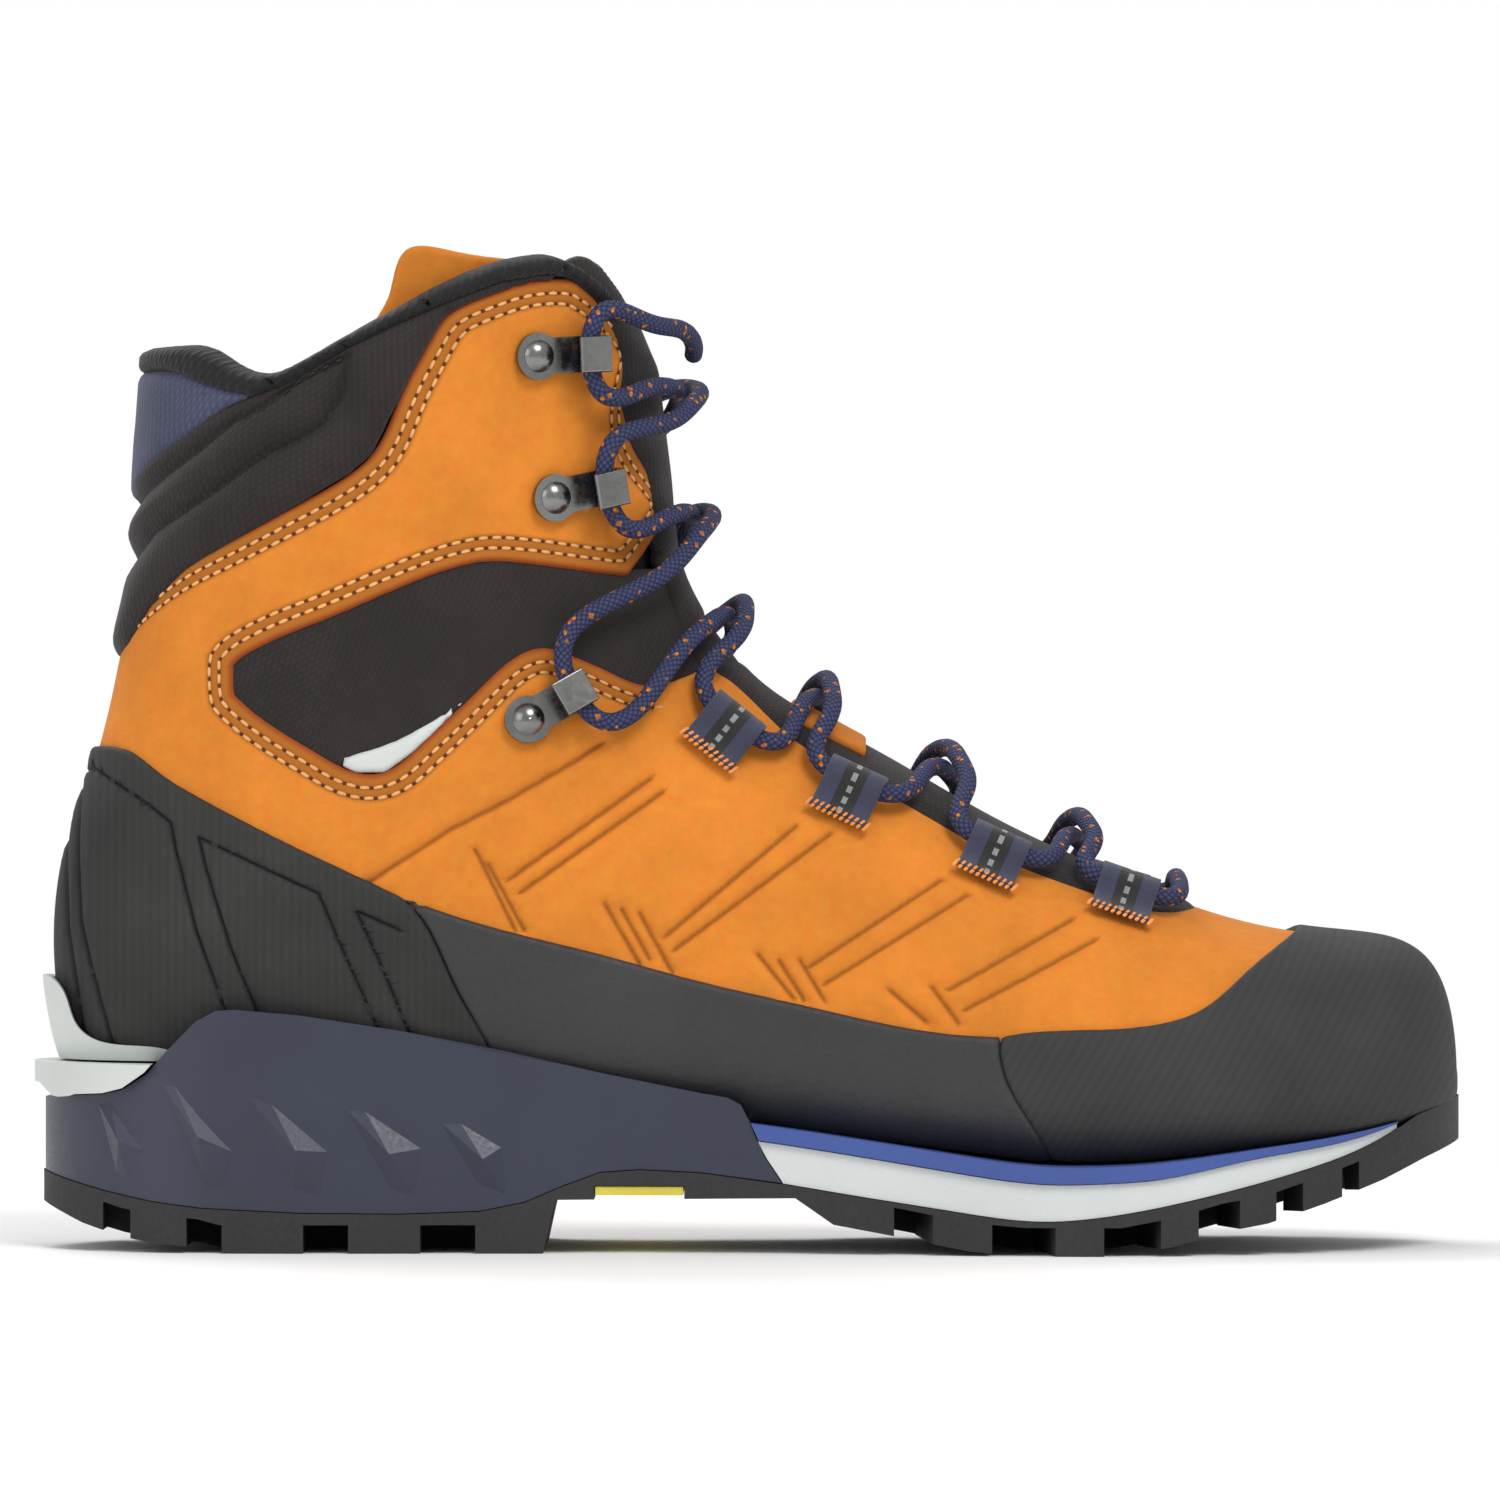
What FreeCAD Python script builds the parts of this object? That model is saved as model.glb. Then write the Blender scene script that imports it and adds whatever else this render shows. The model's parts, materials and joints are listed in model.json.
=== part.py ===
"""High mountaineering boot for the right foot, as an assembly of its separate pieces.

Millimetres. +X points to the toe, +Y to the inner (medial) side, +Z up.
The origin is on the ground, under the centre of the heel.

The upper is a set of nested skins.  skin(t) is the closed body that lies t millimetres outside
the reference skin, and a panel is the space between two skins, cut to its outline in side view.
The sole unit is the plan outline of the foot, cut to bands in side view.
"""
import FreeCAD, Part
import math
import os
from functools import cache

V = FreeCAD.Vector

# ---------------------------------------------------------------- driving dimensions
# Layers of the upper, counted from the reference skin
CLEARANCE = 0.2          # air between neighbouring pieces
LEATHER = 2.0            # outer face of the leather
RAND = 1.6               # rubber rand over the leather
SOFTSHELL = LEATHER - 0.4
ACCENT = LEATHER + 0.3
COLLAR_PAD = 4.0         # outer face of the padded softshell collar
TONGUE_PAD = 2.8         # outer face of the tongue's padding
PATCH = TONGUE_PAD + 1.4
MEMBRANE = 0.8           # waterproof bootie, under the reference skin
STIFFENER = 1.2          # layer of heel counter, toe puff and lasting board
CAVITY = 4.8             # the lining's inner face, under the reference skin
LINING = 2.4             # padded textile lining
TONGUE_BACK = (-CAVITY - 2.4, -CAVITY - 0.6)      # inner and outer face of the tongue's own lining
FOOTBED = 5.0
FOOTBED_SEAT = CAVITY + 0.6                       # the footbed's underside over the upper's bottom line
LASTING_MARGIN = 13.0    # how far leather and rand wrap under the foot
BOARD_HEIGHT = 3.0       # the lasting board ends this far above the upper's bottom line
BOARD_GAP = 0.2          # from its edge to the heel counter and the toe puff
THROAT_SWEEP = 9.0       # how far the linings stand back from the tongue, so that it can tilt
THROAT_LOW = 149.5       # the shaft's open front begins here
UNDER_RIM = {"membrane": 3.0, "lining": 2.0, "foam": 4.5}     # how far they end below the top edge

# Where the boot moves
ANKLE_AXIS = (-28.0, 119.0)       # x, z of the shaft's flex axis, in the leather neck behind the ankle
FOOTBED_AXIS = (231.0, 41.0)      # x, z of the footbed's toe end, about which its heel end lifts
SLAB_SLOPE = 11.5        # the bending band through the ankle axis, degrees from level
SLAB_THICKNESS = 24.0

# Sole unit
SHANK_HALF_WIDTH = 14.0
SHANK_THICKNESS = 1.2
SHANK_DROP = 2.4         # under the upper's bottom line
SHANK_SPAN = (-30.0, 71.4)
FRAME_GROW = -0.4        # heel frame against the tread's plan outline
FRAME_WALL = 2.4         # its wall behind the heel
FRAME_SIDE = 7.0         # its side wall round the foam core
FRAME_FLOOR = 2.2
MIDSOLE_GROW = -0.6      # midsole and its stripe against the tread's plan outline
STRIPE_GROW = 0.4
CUP_WALL = 2.6
LEDGE_GROW = 1.9
LUG_HEIGHT = 6.0
LUG_INNER_Y = 13.0       # half width of the row of middle lugs
CHANNEL = 5.0            # groove along each side of that row
LUG_OUTER_Y = 70.0       # beyond the sole's edge
GROOVE_TOP = 20.0        # beyond the lugs' height
GAP_SLANT = 6.0          # the forefoot's gaps run forwards to the outside
CHANNEL_SPANS = [(-38.0, 44.0), (118.0, 222.0)]
HEEL_GAPS = [(0.6, 10.1), (25.2, 36.8), (-24.0, -16.5), (-42.0, -36.0)]
FORE_GAPS = [(121.0, 129.0), (141.0, 154.0), (164.0, 176.0), (184.0, 193.0), (201.0, 207.0), (216.0, 220.0)]
MIDDLE_GAPS = [(-14.0, -8.0), (14.0, 20.0), (38.0, 44.0),
               (131.0, 138.0), (156.0, 163.0), (180.0, 187.0), (204.0, 210.0)]
INSERT_SPAN = (62.0, 80.5)
INSERT_LEVEL = (12.3, 14.1)

# Lacing
HOOK_REACH = 14.3        # rivet centre to the hook's front wall
HOOK_GAP = 4.9           # free height in the hook for the lace
HOOK_STOCK = 1.1         # sheet metal thickness
HOOK_WIDTH = 7.6
HOOK_HEAD = 7.6          # length of the head curled back over the lace
HOOK_TAIL = 1.0          # how far the hook's arm runs on past the rivet's centre
HOOK_BASE_R = 5.0
HOOK_ROUNDING = 0.45
RIVET_HEAD_R = 3.4
RIVET_DOME_R = 4.2
RIVET_DOME_DROP = 2.45   # centre of the dome's sphere, under the head's seat
RIVET_SHANK_R = 1.5
SEAT_LIFT = 0.7          # hardware stands on the leather's fibres, clear of its curve
LACE_R = 1.95
LACE_AIR = 0.4
LOOP_LENGTH = 12.6
WEBBING = 0.9
TAIL_LENGTH = 8.0        # flat end of the webbing, stitched to the leather
LOOP_LEAVE = (9.4, 1.6)  # the lace beyond a loop's mouth: along the loop, and towards the tongue
STRAND_LIFT = 1.8        # air between the tongue and the lace crossing it
STRAND_AIR = 0.6         # between two strands that cross
CROSSING_STEPS = 6
LACE_END = (62.0, 176.0)          # x, z on the inner side towards which the free end runs
CORD_STEP = 1.8          # along the lace, between rings of its surface
CORD_SIDES = 8
CORD_SPANS = 40          # spans in one face of the lace's wall

# Blocks used for cutting, larger than the boot
HALF_BLOCK = 90.0        # half length of the side-view blocks along Y
FAR_BACK, FAR_FRONT, FAR_UP, FAR_DOWN = -75.0, 265.0, 250.0, -20.0

# Sections of the reference skin, toe to collar:
# front or top point (x, z), back or bottom point (x, z), outer half width, inner half width
SECTIONS = [
    ((242.1, 37.0), (242.1, 32.8), 4.0, 4.0),
    ((241.2, 45.0), (241.5, 32.3), 12.0, 14.0),
    ((238.6, 56.0), (239.4, 31.1), 21.0, 24.5),
    ((234.1, 61.0), (234.8, 29.2), 29.5, 33.0),
    ((226.8, 63.2), (227.8, 27.1), 38.0, 40.5),
    ((217.3, 64.2), (218.8, 25.2), 44.5, 45.5),
    ((205.8, 65.8), (207.9, 23.7), 48.8, 47.8),
    ((191.1, 69.6), (194.2, 21.8), 50.5, 47.5),
    ((174.3, 75.9), (178.5, 20.2), 50.2, 45.0),
    ((157.5, 82.9), (159.6, 19.1), 48.2, 41.5),
    ((140.7, 91.4), (138.6, 21.2), 45.5, 38.5),
    ((123.9, 101.2), (117.6, 24.1), 42.3, 35.8),
    ((109.2, 109.2), (94.5, 27.5), 39.6, 34.0),
    ((97.6, 116.3), (71.4, 29.8), 38.2, 33.6),
    ((89.0, 124.5), (46.2, 31.5), 37.6, 34.4),
    ((83.2, 132.7), (21.0, 32.5), 37.8, 35.8),
    ((79.4, 139.5), (-4.2, 33.2), 38.4, 37.2),
    ((77.2, 145.5), (-27.3, 33.8), 38.5, 38.0),
    ((76.0, 151.2), (-43.0, 37.5), 38.4, 38.2),
    ((75.4, 156.8), (-49.2, 50.2), 38.0, 38.0),
    ((75.0, 162.2), (-50.6, 63.8), 37.6, 37.6),
    ((74.4, 167.6), (-49.6, 78.5), 37.5, 37.5),
    ((73.7, 173.0), (-46.6, 91.1), 37.8, 37.8),
    ((73.1, 178.9), (-43.0, 103.7), 38.4, 38.4),
    ((72.5, 185.0), (-39.8, 116.3), 39.2, 39.2),
    ((71.6, 190.9), (-37.2, 128.9), 40.0, 40.0),
    ((70.6, 197.2), (-35.0, 140.5), 40.8, 40.8),
    ((69.5, 203.9), (-33.9, 152.0), 41.6, 41.6),
    ((68.5, 210.8), (-33.6, 163.6), 42.4, 42.4),
    ((67.4, 218.2), (-32.8, 175.1), 43.0, 43.0),
    ((66.2, 225.5), (-31.2, 187.7), 43.5, 43.5),
    ((65.0, 232.9), (-29.0, 200.3), 44.0, 44.0),
]
POINTS_PER_QUARTER = 6
FOOT_SECTIONS = 12       # up to here the section's back end is the flat sole side
HEEL_SECTION = 19        # from here on the section's back end is the back of the shaft
SOLE_SHARE = 0.3         # outward skins grow this much less under the sole

# ---------------------------------------------------------------- outlines in side view (x, z)
RIM = [(-37.8, 189.4), (-29.4, 191.1), (-23.1, 190.5), (-15.8, 186.5), (-8.0, 184.4), (2.1, 188.2),
       (21.0, 198.2), (42.0, 207.5), (52.5, 209.6), (57.8, 207.1), (61.9, 202.9), (65.5, 197.8)]
LEATHER_TOP = [(-38.9, 128.9), (-33.6, 136.7), (-25.2, 144.1), (-15.8, 149.3), (0.0, 157.7),
               (10.5, 163.8), (15.1, 167.8), (21.0, 179.8), (27.3, 191.9), (30.9, 197.2),
               (36.8, 200.5), (48.3, 204.5), (55.6, 205.0)]
LEATHER_FRONT = [(55.6, 205.0), (60.9, 201.0), (65.5, 196.1), (68.3, 189.8), (67.4, 179.3),
                 (68.2, 170.9), (72.5, 163.6), (74.8, 157.3), (73.1, 151.0), (68.0, 142.6)]
CUFF_BOTTOM = [(68.0, 142.6), (58.8, 143.6), (46.2, 145.1), (37.8, 145.3), (29.4, 143.2),
               (5.2, 133.1), (-10.5, 126.4), (-14.3, 124.1), (-15.5, 121.2)]
WINDOW_BOTTOM = [(-15.5, 121.2), (-14.3, 117.6), (-8.4, 112.6), (4.2, 104.8), (11.5, 101.2),
                 (17.8, 101.2), (24.1, 105.8), (37.8, 118.9), (44.1, 124.7), (50.4, 127.3),
                 (56.7, 125.6), (65.1, 121.8), (71.4, 119.3), (76.6, 119.7), (86.9, 124.7)]
THROAT = [(86.9, 124.7), (92.4, 120.5), (105.0, 109.0), (115.5, 102.7), (126.0, 96.8),
          (136.5, 90.7), (147.0, 84.8), (157.5, 80.2), (168.0, 76.4), (178.5, 73.1), (187.3, 73.3)]
ANKLE_THROAT = [(86.9, 124.7), (81.0, 136.0), (77.6, 146.5)]
SHAFT_THROAT = [(77.4, 149.5), (76.0, 154.1), (75.2, 160.4), (73.5, 166.7), (70.8, 173.0), (69.2, 179.3),
                (69.3, 185.6), (68.5, 190.9), (65.5, 197.8), (60.5, 204.2), (56.5, 207.8)]
ACCENT_TOP = [(7.2, 103.6), (12.6, 104.9), (18.9, 106.9), (25.2, 110.0), (31.5, 114.0), (38.6, 120.0)]
RAND_TOP = [(-50.4, 103.3), (-43.7, 106.5), (-37.8, 105.8), (-31.5, 101.6), (-21.0, 95.3),
            (0.0, 84.8), (21.0, 75.0), (42.0, 68.0), (63.0, 62.8), (84.0, 57.1), (105.0, 52.3),
            (126.0, 47.7), (147.0, 45.6), (168.0, 47.2), (178.5, 48.1), (189.0, 51.4),
            (199.5, 59.6), (208.9, 65.9), (216.0, 70.5)]
HEEL_RAND_FRONT = [(21.0, 75.0), (26.2, 69.6), (32.5, 56.5), (38.4, 46.0), (42.9, 36.7), (48.0, 22.0)]
TOE_RAND_BACK = [(147.0, 45.6), (146.7, 42.5), (147.4, 38.8), (149.1, 34.4), (153.3, 27.7), (162.0, 13.6)]
RIM_LOW = [(-45.0, 184.5), (-31.5, 186.3), (-25.2, 185.6), (-21.0, 183.6), (-15.8, 181.6), (-9.5, 180.2),
           (-3.0, 182.6), (10.5, 190.3), (21.0, 195.4), (31.5, 200.0), (42.0, 204.3), (50.0, 206.0),
           (56.0, 205.6), (61.2, 201.6), (65.9, 196.6)]
COLLAR_PANEL_EDGE = [(-45.0, 152.0), (-38.2, 158.3), (-33.6, 165.0), (-23.1, 173.2),
                     (-17.9, 176.8), (-9.5, 180.2)]
TONGUE_TOP = [(56.5, 207.8), (60.0, 205.4), (64.0, 200.8), (69.5, 193.2), (74.0, 184.0), (82.0, 166.0)]
FLAP_TOP = [(13.5, 191.0), (15.1, 195.1), (18.5, 201.2), (20.4, 208.3), (22.1, 210.8), (29.4, 211.3),
            (37.8, 209.8), (50.4, 208.6), (60.0, 204.8)]
FRAME_TOP = [(-60.0, 31.5), (-48.3, 32.8), (-42.0, 33.2), (-37.8, 34.2), (-32.5, 37.6), (-28.3, 42.4),
             (-22.1, 48.7), (-17.8, 51.0), (-13.7, 51.2), (0.0, 50.0), (21.0, 46.8), (42.0, 42.8),
             (63.0, 38.0), (84.0, 33.8), (89.9, 32.8), (92.6, 31.3), (94.5, 27.5)]
FRAME_FRONT = [(94.5, 27.5), (95.5, 25.0), (97.8, 20.0), (101.2, 15.0)]
TREAD_TOP_HEEL = [(-60.0, 17.6), (-50.4, 14.9), (-42.0, 12.8), (-31.5, 10.7), (-21.0, 9.4), (0.0, 8.4),
                  (21.0, 8.2), (37.8, 8.8), (47.2, 10.7), (54.6, 13.9), (63.0, 17.0), (71.4, 17.6),
                  (84.0, 17.0), (101.4, 14.7)]
TREAD_TOP_TOE = [(101.4, 14.7), (115.5, 12.4), (136.5, 9.2), (155.4, 7.1), (168.0, 8.0), (189.0, 12.0),
                 (210.0, 17.4), (220.5, 20.8), (231.0, 25.8), (235.6, 28.6)]
STRIPE_BOTTOM = [(96.1, 23.9), (115.5, 21.0), (136.5, 17.6), (147.0, 16.0), (157.5, 15.1),
                 (168.0, 15.3), (178.5, 16.0), (199.5, 20.2), (220.5, 23.9), (231.0, 27.1)]
UPPER_BOTTOM = [(-60.0, 33.0), (-30.0, 33.5), (21.0, 32.5), (71.4, 29.8), (94.5, 27.4), (115.5, 24.4),
                (136.5, 21.2), (155.4, 18.8), (168.0, 18.7), (178.5, 19.3), (199.5, 22.1),
                (220.5, 25.2), (235.6, 28.6), (252.0, 34.0)]
HEEL_TREAD_BOTTOM = [(-62.0, 11.8), (-55.4, 9.7), (-46.6, 5.9), (-38.2, 3.4), (-31.5, 2.1), (-21.6, 1.2),
                     (-17.0, 0.0), (51.0, 0.0)]
ARCH_BOTTOM = [(53.5, 11.3), (104.0, 11.8)]
TOE_TREAD_BOTTOM = [(112.0, 6.3), (127.0, 3.6), (140.0, 1.0), (152.0, 0.0), (172.0, 0.0), (183.1, 2.1),
                    (193.2, 5.0), (202.9, 6.7), (215.3, 10.7), (227.9, 15.3), (237.3, 19.5), (252.0, 25.0)]
CUP_TOP = [(-60.0, 56.3), (-53.1, 56.9), (-51.0, 54.4), (-48.3, 47.7), (-46.2, 45.6), (-38.9, 43.5),
           (-28.3, 42.4)]

# Plan outline of the tread's edge (x, y), round the foot from the toe down the outer side
FOOTPRINT = [(246.3, 7.0), (243.0, -9.0), (235.0, -24.0), (222.0, -38.0), (205.0, -48.0), (185.0, -53.8),
             (160.0, -54.5), (135.0, -50.0), (110.0, -45.0), (80.0, -41.5), (50.0, -39.8), (20.0, -40.0),
             (-10.0, -40.0), (-32.0, -35.5), (-47.0, -24.0), (-55.3, -8.0),
             (-55.3, 8.0), (-47.0, 24.0), (-32.0, 35.5), (-10.0, 40.0), (20.0, 39.0), (50.0, 35.8),
             (80.0, 34.5), (105.0, 37.0), (130.0, 43.0), (155.0, 48.5), (180.0, 52.0), (205.0, 51.5),
             (222.0, 45.5), (235.0, 33.5), (243.0, 21.0)]

# Lace hooks: rivet place (x, z) on the side of the boot, and the slope of the hook's arm in degrees
HOOKS = {"top": ((49.4, 188.6), 2.0), "mid": ((52.9, 159.0), 9.0), "ankle": ((47.7, 112.1), 30.0)}
# Webbing loops: centre (x, z), top to bottom
LOOPS = [(89.6, 110.0), (115.6, 96.6), (145.6, 82.6), (173.0, 73.6)]


# ---------------------------------------------------------------- small tools
def superellipse(power, steps):
    """(along, across) pairs of a quarter superellipse, from its widest place to its end."""
    pairs = []
    for k in range(steps + 1):
        a = 0.5 * math.pi * k / steps
        pairs.append((math.sin(a) ** (2 / power), max(0.0, math.cos(a)) ** (2 / power)))
    pairs[-1] = (1.0, 0.0)
    return pairs


def mix(a, b, share):
    return a + (b - a) * share


def ease(x, low, high):
    """0 below low, 1 above high, smooth between."""
    share = min(1.0, max(0.0, (x - low) / (high - low)))
    return share * share * (3 - 2 * share)


def normals(points, left):
    """Unit normals of a polyline in side view, on its left or right hand."""
    found = []
    for i in range(len(points)):
        x0, z0 = points[max(0, i - 1)]
        x1, z1 = points[min(len(points) - 1, i + 1)]
        length = math.hypot(x1 - x0, z1 - z0)
        n = (-(z1 - z0) / length, (x1 - x0) / length)
        found.append(n if left else (-n[0], -n[1]))
    return found


FRONT = [s[0] for s in SECTIONS]
BACK = [s[1] for s in SECTIONS]
FRONT_OUT = normals(FRONT, left=False)
BACK_OUT = normals(BACK, left=True)


def section_form(number):
    """A section's form: place of its widest point from front to back, powers of its two ends, lean in Y."""
    foot = 1 - ease(number, FOOT_SECTIONS, HEEL_SECTION)
    toe = 1 - ease(number, 1, 6)
    widest = mix(mix(0.46, 0.68, foot), 0.55, toe)
    front_power = mix(2.15, 2.3, toe)
    back_power = mix(mix(2.2, 3.8, foot), 2.6, toe)
    lean = 5.0 * (1 - ease(number, 0, 12))         # the toe points a little to the inner side
    return widest, front_power, back_power, lean


def section_wire(index, t):
    """Closed curve of one section of skin(t)."""
    under = t * (SOLE_SHARE if t > 0 and 0 < index < HEEL_SECTION - 1 else 1.0)
    fx = FRONT[index][0] + FRONT_OUT[index][0] * t
    fz = FRONT[index][1] + FRONT_OUT[index][1] * t
    bx = BACK[index][0] + BACK_OUT[index][0] * under
    bz = BACK[index][1] + BACK_OUT[index][1] * under
    widest, front_power, back_power, lean = section_form(index)
    outer, inner = (max(0.8, SECTIONS[index][k] + t) for k in (2, 3))
    towards_front = superellipse(front_power, POINTS_PER_QUARTER)
    towards_back = superellipse(back_power, POINTS_PER_QUARTER)
    ring = []

    def add(along, y):
        ring.append(V(mix(fx, bx, along), y + lean, mix(fz, bz, along)))

    for u, f in reversed(towards_front):
        add(widest * (1 - u), -outer * f)
    for u, f in towards_back[1:]:
        add(widest + (1 - widest) * u, -outer * f)
    for u, f in reversed(towards_back[:-1]):
        add(widest + (1 - widest) * u, inner * f)
    for u, f in towards_front[1:-1]:
        add(widest * (1 - u), inner * f)
    count = len(ring)
    curve = Part.BSplineCurve()
    curve.interpolate(Points=ring, PeriodicFlag=True, Parameters=[k / count for k in range(count + 1)])
    return Part.Wire([curve.toShape()])


@cache
def skin(t):
    """The closed body t millimetres outside the reference skin. Inner skins leave out the toe's tip."""
    first = 0 if t > -MEMBRANE - 0.1 else 1 if t > -CAVITY + 1.0 else 2
    wires = [section_wire(i, t) for i in range(first, len(SECTIONS))]
    body = Part.makeLoft(wires, True, False)
    if body.Volume < 0:
        body.reverse()
    return body


def layer(low, high):
    """The shell between two skins."""
    return skin(high).cut(skin(low))


def sharp(points):
    """The same points as straight runs, for an outline with corners."""
    return [points[i:i + 2] for i in range(len(points) - 1)]


def side_point(p):
    return V(p[0], 0, p[1])


def plan_point(p):
    return V(p[0], p[1], 0)


def outline_wire(runs, place):
    """A closed wire from runs of points. A run of two is a line, a longer one a smooth curve.

    Runs that don't meet are joined by lines."""
    edges = []
    for i, run in enumerate(runs):
        points = [place(p) for p in run]
        if len(points) == 2:
            edges.append(Part.makeLine(points[0], points[1]))
        elif len(points) > 2:
            curve = Part.BSplineCurve()
            curve.interpolate(points)
            edges.append(curve.toShape())
        following = place(runs[(i + 1) % len(runs)][0])
        if points[-1].distanceToPoint(following) > 1e-6:
            edges.append(Part.makeLine(points[-1], following))
    return Part.Wire(Part.__sortEdges__(edges))


def block(*runs, half=HALF_BLOCK, middle=0.0):
    """The side-view outline made of these runs, pulled out along Y."""
    face = Part.Face(outline_wire(runs, side_point))
    face.translate(V(0, middle - half, 0))
    return face.extrude(V(0, 2 * half, 0))


def post(*runs, low=-5.0, high=70.0):
    """The plan outline made of these runs, pulled up along Z."""
    face = Part.Face(outline_wire(runs, plan_point))
    face.translate(V(0, 0, low))
    return face.extrude(V(0, 0, high - low))


def shifted(run, dx=0.0, dz=0.0):
    return [(x + dx, z + dz) for x, z in run]


def reverse(run):
    return list(reversed(run))


def footprint(grow, low=-5.0, high=70.0):
    """A straight-sided block on the plan outline, grown by this much."""
    count = len(FOOTPRINT)
    ring = []
    for i in range(count):
        x0, y0 = FOOTPRINT[i - 1]
        x1, y1 = FOOTPRINT[(i + 1) % count]
        length = math.hypot(x1 - x0, y1 - y0)
        nx, ny = (y1 - y0) / length, -(x1 - x0) / length      # the ring runs clockwise seen from above
        x, y = FOOTPRINT[i]
        ring.append(V(x - nx * grow, y - ny * grow, low))
    curve = Part.BSplineCurve()
    curve.interpolate(Points=ring, PeriodicFlag=True)
    return Part.Face(Part.Wire([curve.toShape()])).extrude(V(0, 0, high - low))


def on_skin(x, z, side, t):
    """Point and outward normal on skin(t) at (x, z), on the outer side (-1) or inner side (+1)."""
    def hit(px, pz):
        line = Part.makeLine(V(px, 0, pz), V(px, side * HALF_BLOCK, pz))
        ys = [v.Point.y * side for v in line.common(skin(t)).Vertexes]
        return V(px, side * max(ys), pz)
    step = 1.5
    along_x = hit(x + step, z) - hit(x - step, z)
    along_z = hit(x, z + step) - hit(x, z - step)
    normal = along_z.cross(along_x)
    normal.normalize()
    if normal.y * side < 0:
        normal = normal * -1
    return hit(x, z), normal


def frame_at(point, normal, slope, side):
    """Placement whose local Z is the normal and whose local X runs forwards at the slope."""
    forward = V(math.cos(math.radians(slope)), 0, math.sin(math.radians(slope)))
    x_axis = forward - normal * forward.dot(normal)
    x_axis.normalize()
    y_axis = normal.cross(x_axis)
    m = FreeCAD.Matrix(x_axis.x, y_axis.x, normal.x, point.x,
                       x_axis.y, y_axis.y, normal.y, point.y,
                       x_axis.z, y_axis.z, normal.z, point.z,
                       0, 0, 0, 1)
    return m


def biggest(shape, count=1):
    """The largest solids of a shape, as a compound if there is more than one."""
    solids = sorted(shape.Solids, key=lambda s: -s.Volume)[:count]
    return solids[0] if count == 1 else Part.makeCompound(solids)


def save(name, shape):
    os.makedirs("parts", exist_ok=True)
    shape.exportStep(f"parts/{name}.step")
    print(f"{name}: {len(shape.Solids)} solid(s), {shape.Volume / 1000:.1f} cm3, valid {shape.isValid()}")


def cord_poles(path, radius, count):
    """Rings of control points round the path, one more than count."""
    stretch = 6 / (4 + 2 * math.cos(2 * math.pi / CORD_SIDES))     # control points lie outside a round spline
    across = V(0.3, 1.0, 0.2)
    rings = []
    for k in range(count + 1):
        u = path.parameterAtDistance(path.length() * k / count, path.FirstParameter)
        along = path.tangent(u)[0]
        across = across - along * across.dot(along)
        across.normalize()
        other = along.cross(across)
        angles = [2 * math.pi * j / CORD_SIDES for j in range(CORD_SIDES)]
        outward = [across * math.cos(a) + other * math.sin(a) for a in angles]
        rings.append([path.value(u) + direction * radius * stretch for direction in outward])
    return rings


def cord(points, radius):
    """A round cord through these points, as one solid whose wall is a row of faces."""
    path = Part.BSplineCurve()
    path.interpolate(points)
    count = int(path.length() / CORD_STEP)
    wall = Part.BSplineSurface()
    wall.buildFromPolesMultsKnots(cord_poles(path, radius, count), [4] + [1] * (count - 3) + [4],
                                  [1] * (CORD_SIDES + 1), list(range(count - 1)), list(range(CORD_SIDES + 1)),
                                  False, True, 3, 3)
    spans = count - 2
    cuts = list(range(0, spans - CORD_SPANS // 2, CORD_SPANS)) + [spans]
    faces = [wall.toShape(low, high, 0, CORD_SIDES) for low, high in zip(cuts, cuts[1:])]
    rims = [e for e in faces[0].Edges + faces[-1].Edges if e.isClosed()]
    for end in (points[0], points[-1]):
        rim = min(rims, key=lambda e: (e.CenterOfMass - end).Length)
        faces.append(Part.Face(Part.Wire([rim])))
    shell = Part.Shell(faces)
    shell.sewShape()
    solid = Part.Solid(shell)
    if solid.Volume < 0:
        solid.reverse()
    return solid


# ---------------------------------------------------------------- the sole unit
def upper_hull():
    """What the sole unit must leave free for the upper."""
    return skin(LEATHER + RAND + CLEARANCE)


def tread_outline():
    toe_bumper = [(235.6, 28.6), (245.3, 31.9), (252.0, 33.0)]
    tops = sharp(TREAD_TOP_HEEL) + [TREAD_TOP_TOE] + sharp(toe_bumper)
    bottoms = sharp(reverse(HEEL_TREAD_BOTTOM + ARCH_BOTTOM + TOE_TREAD_BOTTOM))
    return block(*tops, *bottoms)


def groove(x0, x1, y0, y1, slant=0.0):
    """A slot seen from above, from y0 to y1, running forwards by the slant."""
    plan = [(x0, y0), (x1, y0), (x1 + slant, y1), (x0 + slant, y1)]
    return post(*sharp(plan), high=GROOVE_TOP)


def lug_grooves():
    """Everything cut out of the tread: a channel round the middle lugs and gaps between the lugs."""
    gaps = []
    for x0, x1 in HEEL_GAPS + FORE_GAPS:
        slant = GAP_SLANT if x0 > ARCH_BOTTOM[1][0] else 0.0
        gaps += [groove(x0, x1, side * LUG_INNER_Y, side * LUG_OUTER_Y, slant) for side in (-1, 1)]
    for x0, x1 in MIDDLE_GAPS:
        gaps.append(groove(x0, x1, -LUG_INNER_Y, LUG_INNER_Y))
    for x0, x1 in CHANNEL_SPANS:
        gaps += [groove(x0, x1, side * LUG_INNER_Y, side * (LUG_INNER_Y + CHANNEL)) for side in (-1, 1)]
    cutter = gaps[0].multiFuse(gaps[1:])
    depth = []
    for line in (HEEL_TREAD_BOTTOM, TOE_TREAD_BOTTOM):
        top = shifted(line, dz=LUG_HEIGHT)
        depth.append(block(*sharp(top + [(top[-1][0], FAR_DOWN), (top[0][0], FAR_DOWN)])))
    return cutter.common(depth[0].fuse(depth[1]))


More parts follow.
